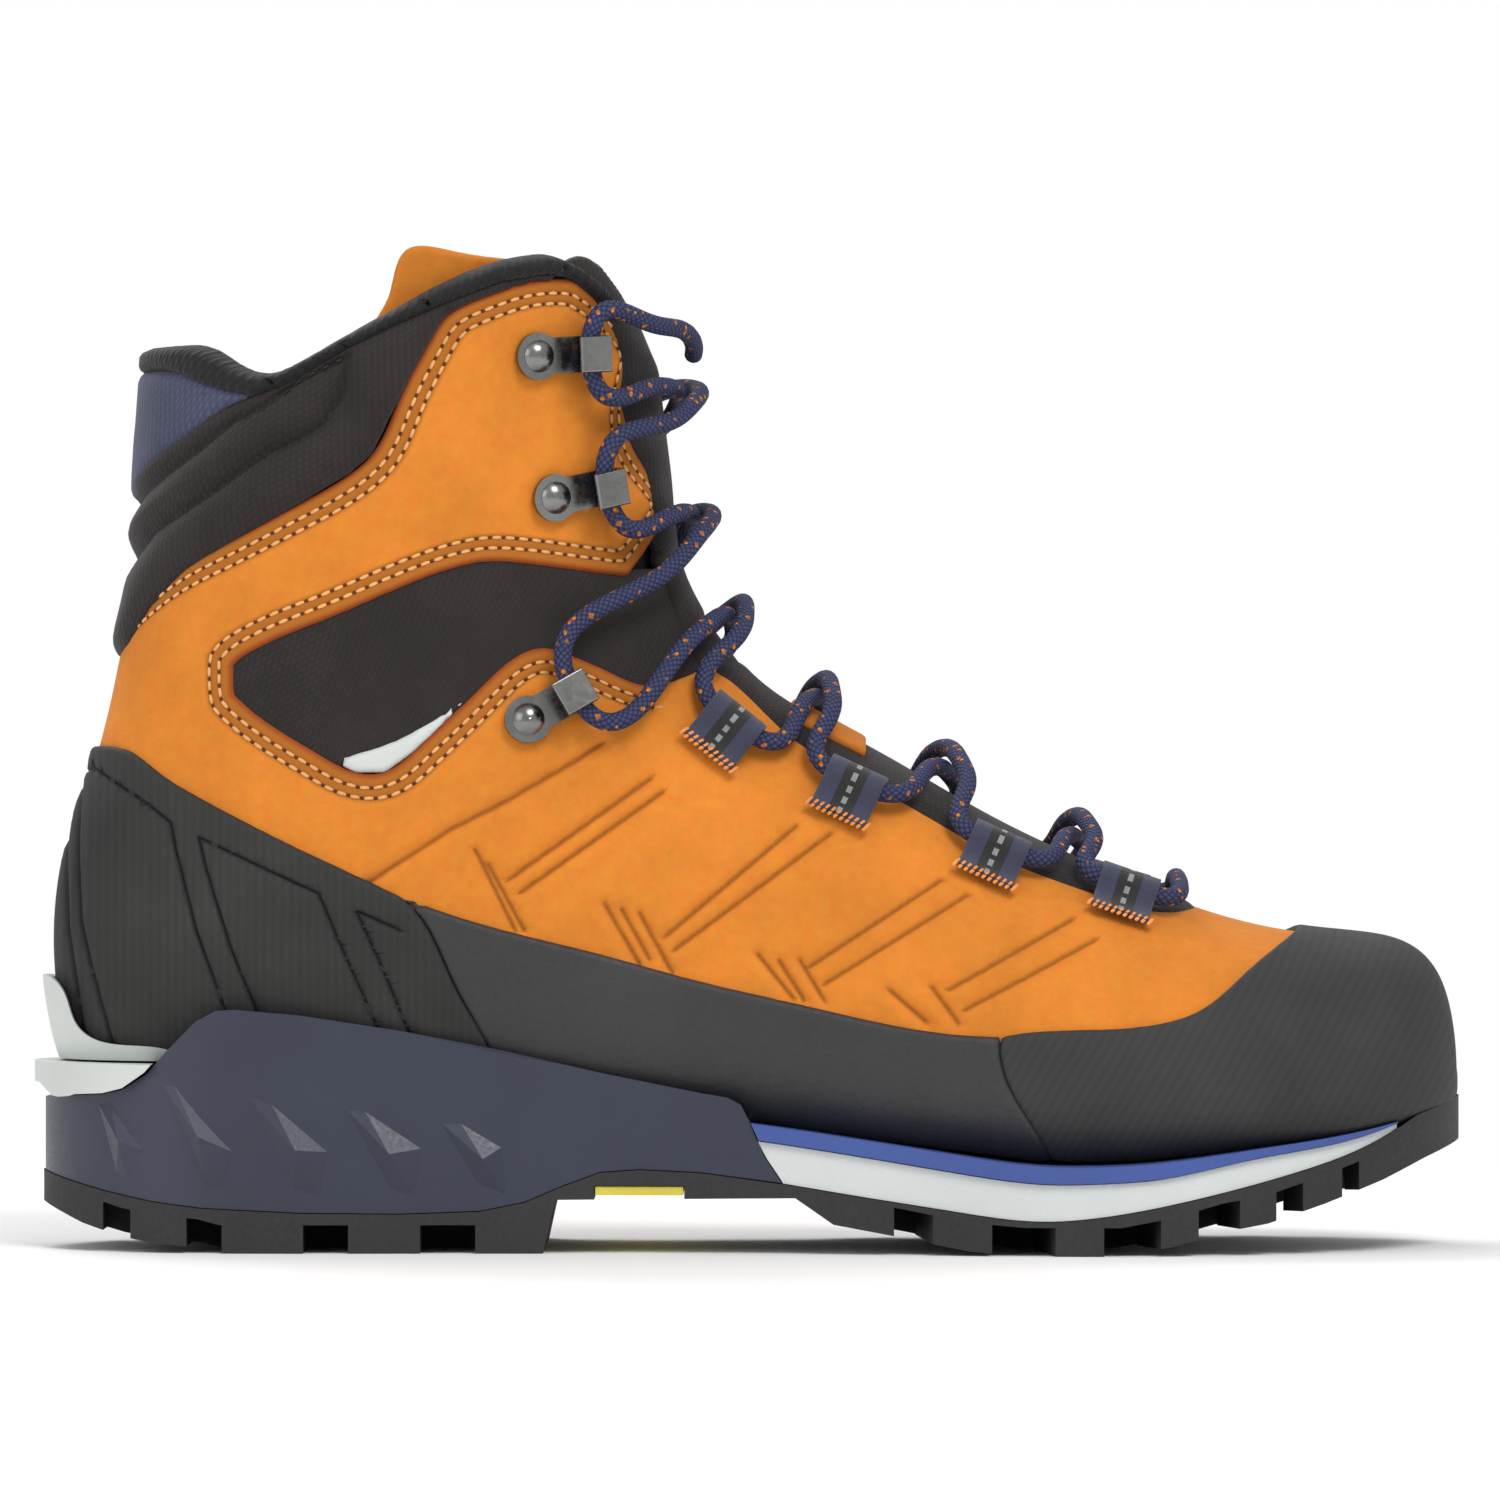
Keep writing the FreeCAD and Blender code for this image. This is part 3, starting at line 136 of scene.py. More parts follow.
def section_chords(tree):
    """Middle point and line of each section. Where the bootie's throat is open the front is bridged."""
    tip = max((v.co for v in frame["nodes"]["membrane_bootie"].data.vertices), key=lambda co: co.x)
    lines = [line for line in section_lines() if line[1] < SAMPLED_Z]
    spans, centres, centre_y, front = [], [], tip.y, 0.0
    for x, z, dx, dz in lines:
        start, along = Vector((x, centre_y + SEAM_SHIFT, z)), Vector((dx, 0, dz))
        near = (tree.ray_cast(start, along)[0] - start).length
        back = (tree.ray_cast(start + along * FAR, -along)[0] - start).length
        # at the open throat the line from the front first meets the back wall
        is_open = back - near < 8 * MM and front > 1 * MM and near > front + 20 * MM
        front = front if is_open else near
        spans.append((np.nan if is_open else near, back))
        middle = start + along * ((front + back) / 2)
        right = tree.ray_cast(middle - Vector((0, FAR, 0)), Vector((0, 1, 0)))[0]
        left = tree.ray_cast(middle + Vector((0, FAR, 0)), Vector((0, -1, 0)))[0]
        centre_y = (right.y + left.y) / 2
        centres.append(centre_y)
    spans = fill_gaps(np.array(spans))
    chords = []
    for (x, z, dx, dz), (front, back), y in zip(lines, spans, centres):
        half = (front + back) / 2
        chords.append((Vector((x + dx * half, y, z + dz * half)), Vector((dx, 0, dz))))
    return chords


def sample_surface():
    """Grid of points on the outside of the CAD bootie: rows from toe to top, columns round it."""
    tree = tree_of("membrane_bootie")
    rows = []
    for middle, along in section_chords(tree):
        ring = []
        for c in range(COLUMNS):
            a = 2 * math.pi * (c + 0.3) / COLUMNS
            out = -along * math.cos(a) + Vector((0, -1, 0)) * math.sin(a)
            hit = tree.ray_cast(middle + out * FAR, -out)[0]
            met = hit is not None and (hit - middle).dot(out) > 2 * MM
            ring.append(hit if met else (np.nan, np.nan, np.nan))
        rows.append(ring)
    grid = fill_gaps(np.array(rows, float))
    for _ in range(3):
        round_mean = (np.roll(grid, 1, 1) + np.roll(grid, -1, 1)) / 2
        grid = grid * 0.5 + round_mean * 0.5
        grid[1:-1] = grid[1:-1] * 0.5 + (grid[:-2] + grid[2:]) * 0.25
    lines = section_lines()
    slope_rows = 14
    slope = (grid[-1] - grid[-1 - slope_rows]) / (grid[-1, 0, 2] - grid[-1 - slope_rows, 0, 2])
    extra = [grid[-1] + slope * (z - grid[-1, 0, 2]) for _, z, _, _ in lines[len(grid):]]
    tip = np.repeat(grid[0].mean(0)[None, None, :], COLUMNS, 1)
    return np.concatenate([tip, grid, np.array(extra)])


SURFACE = sample_surface()
ROWS = len(SURFACE)


def surface_normals(grid):
    """Smoothed outward direction at each point of the grid."""
    along = np.zeros_like(grid)
    along[1:-1] = grid[2:] - grid[:-2]
    along[0] = grid[1] - grid[0]
    along[-1] = grid[-1] - grid[-2]
    around = np.roll(grid, -1, 1) - np.roll(grid, 1, 1)
    around[0] = around[1]
    n = np.cross(along, around)
    n /= np.maximum(np.linalg.norm(n, axis=2, keepdims=True), 1e-12)
    n[0] = (1.0, 0.0, 0.0)
    for _ in range(2):
        n = (n * 2 + np.roll(n, 1, 1) + np.roll(n, -1, 1)) / 4
        n[1:-1] = (n[1:-1] * 2 + n[:-2] + n[2:]) / 4
        n /= np.linalg.norm(n, axis=2, keepdims=True)
    return n


NORMAL = surface_normals(SURFACE)


def run_lengths():
    """Arc lengths on the surface: along the boot, and round it from the back's middle line."""
    along = np.zeros((ROWS, COLUMNS))
    along[1:] = np.cumsum(np.linalg.norm(SURFACE[1:] - SURFACE[:-1], axis=2), 0)
    step = np.linalg.norm(np.roll(SURFACE, -1, 1) - SURFACE, axis=2)
    around = np.concatenate([np.zeros((ROWS, 1)), np.cumsum(step, 1)[:, :-1]], 1)
    return along, around - around[:, COLUMNS // 2][:, None]


ALONG, AROUND = run_lengths()
# one row of values per grid vertex: position, normal, along, around
CO, NO, RUN = slice(0, 3), slice(3, 6), slice(6, 8)
GRID = np.concatenate([SURFACE, NORMAL, ALONG[..., None], AROUND[..., None]], 2).reshape(-1, 8)


def grid_faces(stride=1):
    """Faces of the surface grid, or of every stride-th row and column of it."""
    faces = []
    rows = list(range(0, ROWS - 1, stride))
    for i, r in enumerate(rows):
        upper = rows[i + 1] if i + 1 < len(rows) else ROWS - 1
        for c in range(0, COLUMNS, stride):
            d = (c + stride) % COLUMNS
            a, b = r * COLUMNS, upper * COLUMNS
            faces.append((b + c, b + d, a + d, a + c) if r else (b + c, b + d, a + c))
    return faces


FACES = grid_faces()


# ---------------------------------------------------------------- where the panels lie
DEEP = 30 * MM                        # distance given to points far from a panel's edge
SEARCHED = 12 * MM                    # beyond the panels' box no point is measured


def covered(tree, co, no, reach, depth):
    return tree.ray_cast(Vector(co) + Vector(no) * reach, -Vector(no), reach + depth)[0] is not None


def point_tree(points):
    tree = KDTree(len(points))
    for i, point in enumerate(points):
        tree.insert(point, i)
    tree.balance()
    return tree


def edge_points(mask, inside):
    """Where the grid's edges leave a cover: between a covered and an uncovered point, by halving."""
    wide = mask.reshape(ROWS, COLUMNS)
    number = np.arange(len(GRID)).reshape(ROWS, COLUMNS)
    down = np.argwhere(wide[1:] != wide[:-1])
    over = np.argwhere(np.roll(wide, -1, 1) != wide)
    flips = [(number[r, c], number[r + 1, c]) for r, c in down]
    flips += [(number[r, c], number[r, (c + 1) % COLUMNS]) for r, c in over]
    edge = []
    for a, b in flips:
        if not mask[a]:
            a, b = b, a
        covered_share, free_share = 0.0, 1.0
        for _ in range(5):
            share = (covered_share + free_share) / 2
            p = GRID[a] * (1 - share) + GRID[b] * share
            if inside(p[CO], p[NO]):
                covered_share = share
            else:
                free_share = share
        edge.append(GRID[a, CO] * (1 - share) + GRID[b, CO] * share)
    return edge


def cover_distance(names, reach=9 * MM, depth=1.5 * MM, also=None):
    """Signed distance, on the surface, to the edge of these CAD panels: positive inside them.

    also(co) may add ground that no panel covers."""
    tree = tree_of(*names)

    def inside(co, no):
        return covered(tree, co, no, reach, depth) or (also is not None and also(co))

    co, no = GRID[:, CO], GRID[:, NO]
    boxes = [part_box(name) for name in names]
    low = np.min([box[0] for box in boxes], axis=0) - SEARCHED
    high = np.max([box[1] for box in boxes], axis=0) + SEARCHED
    near = ((co > low) & (co < high))[:, [0, 2]].all(axis=1)
    mask = np.zeros(len(GRID), bool)
    for i in np.flatnonzero(near):
        mask[i] = inside(co[i], no[i])
    # a ray that slips between two triangles leaves a lone uncovered point, which is filled in
    wide = mask.reshape(ROWS, COLUMNS)
    wide[1:-1] |= np.roll(wide, 1, 1)[1:-1] & np.roll(wide, -1, 1)[1:-1] & wide[:-2] & wide[2:]
    edge = point_tree(edge_points(mask, inside))
    distance = np.where(mask, DEEP, -DEEP)
    for i in np.flatnonzero(near):
        p = Vector(co[i])
        (a, _, to_edge), (b, _, _) = edge.find_n(p, 2)
        line = b - a
        if 0.1 * MM < line.length < 4 * MM:      # neighbours on one edge, not points of two edges
            share = max(-0.8, min(1.8, (p - a).dot(line) / line.length_squared))
            to_edge = min(to_edge, (p - a - line * share).length)
        distance[i] = to_edge if mask[i] else -to_edge
    return distance


# ---------------------------------------------------------------- cutting meshes along lines
SNAP = 0.04 * MM                      # points this close to a cut count as on it
UNKNOWN = 2


def side_of(values):
    """-1, 0 or 1 for each value, UNKNOWN where it is not a number."""
    sides = np.sign(values)
    sides[np.abs(values) < SNAP] = 0
    sides[np.isnan(values)] = UNKNOWN
    return [int(v) for v in sides]


def split(points, faces, values, keep_above=False):
    """Cuts faces along the line where the values, one per point, are zero."""
    sides = side_of(values)
    values = list(values)
    added, cuts, out = [], {}, []

    def cut(i, j):
        key = (i, j) if i < j else (j, i)
        if key not in cuts:
            share = values[i] / (values[i] - values[j])
            cuts[key] = len(sides)
            sides.append(0)
            added.append(points[i] * (1 - share) + points[j] * share)
        return cuts[key]

    for face in faces:
        met = {sides[i] for i in face}
        if not (-1 in met and 1 in met):
            if not (keep_above and -1 in met):
                out.append(face)
            continue
        ring = []
        for k, i in enumerate(face):
            j = face[(k + 1) % len(face)]
            ring.append(i)
            if sides[i] * sides[j] == -1:
                ring.append(cut(i, j))
        if UNKNOWN in met:
            out.append(tuple(ring))
            continue
        upper = tuple(i for i in ring if sides[i] >= 0)
        lower = tuple(i for i in ring if sides[i] <= 0)
        out += [part for part in ([upper] if keep_above else [upper, lower]) if len(part) > 2]
    return (np.vstack([points] + added) if added else points), out


def drop_unused(points, faces):
    """The points that the faces use, and the faces renumbered to them."""
    used = np.array(sorted({i for f in faces for i in f}))
    number = np.zeros(len(points), int)
    number[used] = np.arange(len(used))
    return points[used], [tuple(number[i] for i in f) for f in faces]


EDGE = 8                              # column of a panel's points that holds the distance to its edge


def cover_mesh(distance, levels=(), stride=1):
    """The grid's faces inside a cover, cut at its edge and at these distances from it.

    Returns values per vertex (the grid's columns, then the distance) and faces."""
    inside = distance > 0
    faces = [f for f in (FACES if stride == 1 else grid_faces(stride)) if any(inside[i] for i in f)]
    points, faces = drop_unused(np.column_stack([GRID, distance]), faces)
    points, faces = split(points, faces, points[:, EDGE], keep_above=True)
    for level in levels:
        points, faces = split(points, faces, points[:, EDGE] - level)
    return drop_unused(points, faces)


def contour(distance, level, shortest=6):
    """Lines of points (rows of grid values) at this distance inside a cover's edge."""
    ends, places = {}, {}
    value = distance - level
    positive = value > 0

    def place(i, j):
        key = (i, j) if i < j else (j, i)
        if key not in places:
            share = value[i] / (value[i] - value[j])
            places[key] = GRID[i] * (1 - share) + GRID[j] * share
        return key

    for face in FACES:
        met = [positive[i] for i in face]
        if all(met) or not any(met):
            continue
        keys = [place(i, face[(k + 1) % len(face)]) for k, i in enumerate(face)
                if met[k] != met[(k + 1) % len(face)]]
        if len(keys) == 2:
            ends.setdefault(keys[0], []).append(keys[1])
            ends.setdefault(keys[1], []).append(keys[0])
    lines, done = [], set()
    for start in [k for k, v in ends.items() if len(v) == 1] + list(ends):
        line, key = [], start
        while key is not None and key not in done:
            done.add(key)
            line.append(places[key])
            key = next((k for k in ends[key] if k not in done), None)
        if len(line) >= shortest:
            lines.append(np.array(line))
    return lines


# ---------------------------------------------------------------- lines drawn on the side view
def segments_of(lines):
    """Pairs of end points, in metres, of lines given in millimetres of the side view."""
    return [(np.array(a) * MM, np.array(b) * MM) for line in lines for a, b in zip(line, line[1:])]


def line_distance(points, lines):
    """Distance, in side view, from each point to the nearest of these lines."""
    flat = points[:, [0, 2]]
    nearest = np.full(len(points), 1.0)
    for a, b in segments_of(lines):
        along = b - a
        share = np.clip((flat - a) @ along / (along @ along), 0, 1)
        nearest = np.minimum(nearest, np.linalg.norm(flat - a - share[:, None] * along, axis=1))
    return nearest


def split_on_lines(points, faces, lines, width):
    """Gives the mesh an edge along each line and to both sides of it."""
    for a, b in segments_of(lines):
        along = b - a
        length = np.linalg.norm(along)
        along = along / length
        across = np.array([-along[1], along[0]])
        for offset in (0.0, -width, width):
            flat = points[:, [0, 2]] - a
            reach, aside = flat @ along, flat @ across
            near = (np.abs(aside) < width + 1.6 * MM) & (reach > -1.2 * MM) & (reach < length + 1.2 * MM)
            points, faces = split(points, faces, np.where(near, aside - offset, np.nan))
    return points, faces


# ---------------------------------------------------------------- meshes
def new_mesh(name, points, faces, material, smooth=True, uv=None):
    """A mesh object in the scene; uv has one pair per point."""
    data = bpy.data.meshes.new(name)
    data.from_pydata([tuple(p) for p in points], [], [tuple(f) for f in faces])
    data.validate()
    if smooth:
        data.shade_smooth()
    if uv is not None:
        layer = data.uv_layers.new(name="UVMap")
        index = np.zeros(len(data.loops), np.int32)
        data.loops.foreach_get("vertex_index", index)
        layer.data.foreach_set("uv", np.asarray(uv, np.float32)[index].ravel())
    data.materials.append(material)
    piece = bpy.data.objects.new(name, data)
    bpy.context.scene.collection.objects.link(piece)
    return piece


def border_edges(faces):
    """Edges that only one face has, in that face's direction."""
    count = {}
    for f in faces:
        for k, i in enumerate(f):
            j = f[(k + 1) % len(f)]
            count[(i, j)] = count.get((i, j), 0) + 1
    return [e for e in count if (e[1], e[0]) not in count]


UV_UNIT = 100 * MM                    # length on the surface that is 1 in a sheet's UV


def sheet(name, points, faces, top, bottom, material, marks=None):
    """Closed sheet: top and bottom are heights over the reference surface, one value per vertex."""
    co, no = points[:, CO], points[:, NO]
    n = len(points)
    outer = co + no * np.asarray(top)[:, None]
    inner = co + no * np.asarray(bottom)[:, None]
    walls = [(j, i, i + n, j + n) for i, j in border_edges(faces)]
    under = [tuple(i + n for i in reversed(f)) for f in faces]
    uv = np.concatenate([points[:, RUN], points[:, RUN]]) / UV_UNIT
    piece = new_mesh(name, np.concatenate([outer, inner]), list(faces) + under + walls, material, uv=uv)
    for mark, values in (marks or {}).items():
        layer = piece.data.attributes.new(mark, "FLOAT", "POINT")
        layer.data.foreach_set("value", np.concatenate([values, values]).astype(np.float32))
    return piece


EDGE_RADIUS = 1.3 * MM
EDGE_LEVELS = (0.25 * MM, 0.7 * MM, EDGE_RADIUS)      # where a panel's mesh follows its rounded edge


def rounded(distance, radius=EDGE_RADIUS, foot=0.4):
    """Share of the full height near a panel's edge, from the foot at the very edge."""
    share = np.clip(distance / radius, 0, 1)
    return foot + (1 - foot) * np.sqrt(1 - (1 - share) ** 2)


def panel(name, distance, low, high, material, levels=EDGE_LEVELS, radius=EDGE_RADIUS, relief=None,
          cut_lines=None, marks=None):
    """Sheet between two heights with a rounded edge.

    relief(points) adds to the top; cut_lines is lines and width for edges along a relief;
    marks(points) gives values per point for the material."""
    points, faces = cover_mesh(distance, levels)
    if cut_lines is not None:
        points, faces = split_on_lines(points, faces, *cut_lines)
    top = low + (high - low) * rounded(points[:, EDGE], radius)
    if relief is not None:
        top = top + relief(points)
    bottom = np.full(len(points), low)
    return sheet(name, points, faces, top, bottom, material, marks(points) if marks else None)


# ---------------------------------------------------------------- materials
def nodes_of(name):
    """A new material, its node tree and its surface node."""
    material = bpy.data.materials.new(name)
    material.use_nodes = True
    tree = material.node_tree
    return material, tree, tree.nodes["Principled BSDF"]


def link(tree, a, b):
    tree.links.new(a, b)


def add(tree, kind, **settings):
    """A new node; each setting is one of its inputs or, in small letters, of its properties."""
    node = tree.nodes.new(kind)
    for key, value in settings.items():
        if key in node.inputs:
            node.inputs[key].default_value = value
        else:
            setattr(node, key.lower(), value)
    return node


def noise(tree, scale, detail=4.0, rough=0.6):
    where = add(tree, "ShaderNodeTexCoord")
    texture = add(tree, "ShaderNodeTexNoise", Scale=scale, Detail=detail, Roughness=rough)
    link(tree, where.outputs["Object"], texture.inputs["Vector"])
    return texture


def ramp(tree, source, stops):
    """Colours along the source's value; stops are places and colours."""
    node = add(tree, "ShaderNodeValToRGB")
    elements = node.color_ramp.elements
    while len(elements) < len(stops):
        elements.new(0.5)
    for element, (place, colour) in zip(elements, stops):
        element.position = place
        element.color = (*colour, 1.0)
    link(tree, source, node.inputs["Fac"])
    return node


def bump(tree, height, strength, distance, normal=None):
    node = add(tree, "ShaderNodeBump", Strength=strength, Distance=distance)
    link(tree, height, node.inputs["Height"])
    if normal is not None:
        link(tree, normal, node.inputs["Normal"])
    return node.outputs["Normal"]


def shade(colour, factor):
    return tuple(min(1.0, c * factor) for c in colour)


def patchy(tree, colour, scale, detail, low, high):
    """Colour in slow patches, from low to high times its brightness."""
    slow = noise(tree, scale, detail)
    return ramp(tree, slow.outputs["Fac"], [(0.3, shade(colour, low)), (0.7, shade(colour, high))])


def grained(name, colour, roughness, grain=900.0, depth=0.12, spread=0.18, metallic=0.0):
    """Base for most surfaces: fine grain bump, slow colour patches, roughness that varies."""
    material, tree, surface = nodes_of(name)
    tint = patchy(tree, colour, 25.0, 3.0, 1 - spread, 1 + spread)
    link(tree, tint.outputs["Color"], surface.inputs["Base Color"])
    fine = noise(tree, grain, 5.0)
    smooth, coarse = roughness - 0.08, min(1, roughness + 0.08)
    rough = ramp(tree, fine.outputs["Fac"], [(0.3, (smooth,) * 3), (0.7, (coarse,) * 3)])
    link(tree, rough.outputs["Color"], surface.inputs["Roughness"])
    link(tree, bump(tree, fine.outputs["Fac"], depth, 0.4 * MM), surface.inputs["Normal"])
    surface.inputs["Metallic"].default_value = metallic
    return material


def stretch(tree, source, low, high):
    """0 where the source is at low to 1 where it is at high."""
    node = add(tree, "ShaderNodeMapRange")
    node.inputs["From Min"].default_value = low
    node.inputs["From Max"].default_value = high
    link(tree, source, node.inputs["Value"])
    return node.outputs["Result"]


def mark(tree, name, low, high):
    """0 below low to 1 above high, of a value stored on the mesh in metres."""
    value = add(tree, "ShaderNodeAttribute", attribute_name=name)
    return stretch(tree, value.outputs["Fac"], low, high)


def set_inputs(node, values):
    for name, value in values.items():
        node.inputs[name].default_value = value


def mix_colour(tree, factor, a, b, blend="MIX"):
    """a where the factor is 0, b where it is 1; each is a colour or a socket."""
    node = add(tree, "ShaderNodeMix", data_type="RGBA", blend_type=blend)
    colours = {i.name: i for i in node.inputs if i.type == "RGBA"}
    for socket, value in ((node.inputs["Factor"], factor), (colours["A"], a), (colours["B"], b)):
        if isinstance(value, tuple):
            socket.default_value = (*value, 1.0)
        elif isinstance(value, (int, float)):
            socket.default_value = value
        else:
            link(tree, value, socket)
    return next(o for o in node.outputs if o.type == "RGBA")


def calculate(tree, operation, a, b=None):
    """A math node on sockets or numbers."""
    node = add(tree, "ShaderNodeMath", operation=operation)
    for socket, value in zip(node.inputs, (a, b)):
        if isinstance(value, (int, float)):
            socket.default_value = value
        elif value is not None:
            link(tree, value, socket)
    return node.outputs[0]


def nubuck(name, colour, edged=False):
    """Soft brushed leather: cloudy colour and short nap; darker at stitched edges, and painted shade
    darkens the grooves.
    """
    material, tree, surface = nodes_of(name)
    cloud = noise(tree, 38.0, 6.0, 0.65)
    tint = ramp(tree, cloud.outputs["Fac"],
                [(0.30, shade(colour, 0.88)), (0.5, colour), (0.70, shade(colour, 1.13))])
    nap = noise(tree, 420.0, 5.0, 0.7)
    body = mix_colour(tree, 0.35, tint.outputs["Color"], nap.outputs["Color"], "SOFT_LIGHT")
    if edged:
        # painted shade: the grooves and the crease are painted darker, where shade falls in them
        body = mix_colour(tree, mark(tree, "groove", 0.15 * MM, 0.9 * MM), body, shade(colour, 0.42))
        body = mix_colour(tree, mark(tree, "edge", 5.4 * MM, 6.4 * MM), shade(colour, 0.62), body)
        body = mix_colour(tree, mark(tree, "edge", 0.5 * MM, 1.5 * MM), RAW_EDGE, body)
    link(tree, body, surface.inputs["Base Color"])
    set_inputs(surface, {"Roughness": 0.82, "Specular IOR Level": 0.22, "Sheen Weight": 0.06,
                         "Sheen Roughness": 0.45, "Sheen Tint": (1.0, 0.62, 0.25, 1.0)})
    first = bump(tree, nap.outputs["Fac"], 0.30, 0.5 * MM)
    link(tree, bump(tree, cloud.outputs["Fac"], 0.25, 0.8 * MM, first), surface.inputs["Normal"])
    return material


BRAID_STRANDS = 8        # round the lace, each way
BRAID_PITCH = 1.5 * MM   # of the braid along the lace
FLECK_CORE, FLECK_EDGE = 0.20, 0.26      # radius of a fleck, in shares of its cell


def strands(tree, across, along):
    """Height of crossing helical strands on a cord; across runs once round it, along is its length."""
    height = 1.0
    for turn in (1.0, -1.0):
        phase = calculate(tree, "ADD", calculate(tree, "MULTIPLY", across, math.pi * BRAID_STRANDS),
                          calculate(tree, "MULTIPLY", along, turn * math.pi / BRAID_PITCH))
        crest = calculate(tree, "ABSOLUTE", calculate(tree, "SINE", phase))
        height = calculate(tree, "MULTIPLY", crest, height)
    return height


def braided(name, colour, fleck, pitch):
    """Round woven cord with small flecks of another colour, and painted light on its strands; UV is length
    in metres and turns round it.
    """
    material, tree, surface = nodes_of(name)
    where = add(tree, "ShaderNodeTexCoord")
    cells = add(tree, "ShaderNodeTexVoronoi", Scale=1 / pitch, Randomness=0.75)
    link(tree, where.outputs["Object"], cells.inputs["Vector"])
    dot = stretch(tree, cells.outputs["Distance"], FLECK_EDGE, FLECK_CORE)
    parts = add(tree, "ShaderNodeSeparateXYZ")
    link(tree, where.outputs["UV"], parts.inputs["Vector"])
    height = strands(tree, parts.outputs["Y"], parts.outputs["X"])
    # painted highlight on the strands' crests and painted shade between them; the flecks are painted darker
    # between the strands too
    shaded = ramp(tree, height, [(0.0, shade(colour, 0.35)), (0.6, shade(colour, 1.3))])
    tick = mix_colour(tree, height, shade(fleck, 0.4), fleck)
    body = mix_colour(tree, dot, shaded.outputs["Color"], tick)
    link(tree, body, surface.inputs["Base Color"])
    set_inputs(surface, {"Roughness": 0.8, "Specular IOR Level": 0.25})
    link(tree, bump(tree, height, 0.8, 0.4 * MM), surface.inputs["Normal"])
    return material


# the webbing's black middle stripe and its pale dashes, in shares of the loop's length
STRIPE_HALF, DASH_HALF, DASH_PITCH = 0.20, 0.045, 0.11
STRIPE_COLOUR, DASH_COLOUR = (0.016, 0.016, 0.018), (0.34, 0.37, 0.36)


def striped_webbing(name, colour):
    """Webbing with a black middle stripe and pale dashes; UV is in units of the loop's length."""
    material, tree, surface = nodes_of(name)
    where = add(tree, "ShaderNodeTexCoord")
    parts = add(tree, "ShaderNodeSeparateXYZ")
    link(tree, where.outputs["UV"], parts.inputs["Vector"])
    aside = calculate(tree, "ABSOLUTE", parts.outputs["X"])
    ribs = add(tree, "ShaderNodeTexWave", Scale=11.0, Distortion=0.8)
    ribs.bands_direction = "Y"
    link(tree, where.outputs["UV"], ribs.inputs["Vector"])
    cords = add(tree, "ShaderNodeTexWave", Scale=7.0, Distortion=0.4)
    cords.bands_direction = "X"
    link(tree, where.outputs["UV"], cords.inputs["Vector"])
    weave = mix_colour(tree, 0.5, ribs.outputs["Color"], cords.outputs["Color"], "MULTIPLY")
    stripe = calculate(tree, "LESS_THAN", aside, STRIPE_HALF)
    thread = calculate(tree, "LESS_THAN", aside, DASH_HALF)
    repeat = calculate(tree, "PINGPONG", parts.outputs["Y"], DASH_PITCH)
    dashed = calculate(tree, "GREATER_THAN", repeat, DASH_HALF)
    body = mix_colour(tree, stripe, colour, STRIPE_COLOUR)
    body = mix_colour(tree, calculate(tree, "MULTIPLY", dashed, thread), body, DASH_COLOUR)
    # painted shade: the gaps of the weave are painted darker
    link(tree, mix_colour(tree, 0.45, body, weave, "MULTIPLY"), surface.inputs["Base Color"])
    set_inputs(surface, {"Roughness": 0.85, "Sheen Weight": 0.3})
    link(tree, bump(tree, weave, 0.6, 0.2 * MM), surface.inputs["Normal"])
    return material


HALF_BANDS = 6.3         # about how many half bands, light or dark, a wave texture has per unit at scale 1


def woven(name, colour, pitch, depth=0.35):
    """Cloth: a fine square weave of threads one pitch wide, with slow colour patches."""
    material, tree, surface = nodes_of(name)
    where = add(tree, "ShaderNodeTexCoord")
    waves = []
    for direction in ("X", "Y"):
        wave = add(tree, "ShaderNodeTexWave", Scale=UV_UNIT / pitch / HALF_BANDS, Distortion=0.6)
        wave.bands_direction = direction
        link(tree, where.outputs["UV"], wave.inputs["Vector"])
        waves.append(wave.outputs["Fac"])
    height = calculate(tree, "MULTIPLY", *waves)
    tint = patchy(tree, colour, 60.0, 4.0, 0.8, 1.2)
    # painted shade: the gaps between the threads are painted darker
    body = mix_colour(tree, 0.35, tint.outputs["Color"], height, "MULTIPLY")
    link(tree, body, surface.inputs["Base Color"])
    set_inputs(surface, {"Roughness": 0.8, "Specular IOR Level": 0.25, "Sheen Weight": 0.1})
    link(tree, bump(tree, height, depth, 0.25 * MM), surface.inputs["Normal"])
    return material


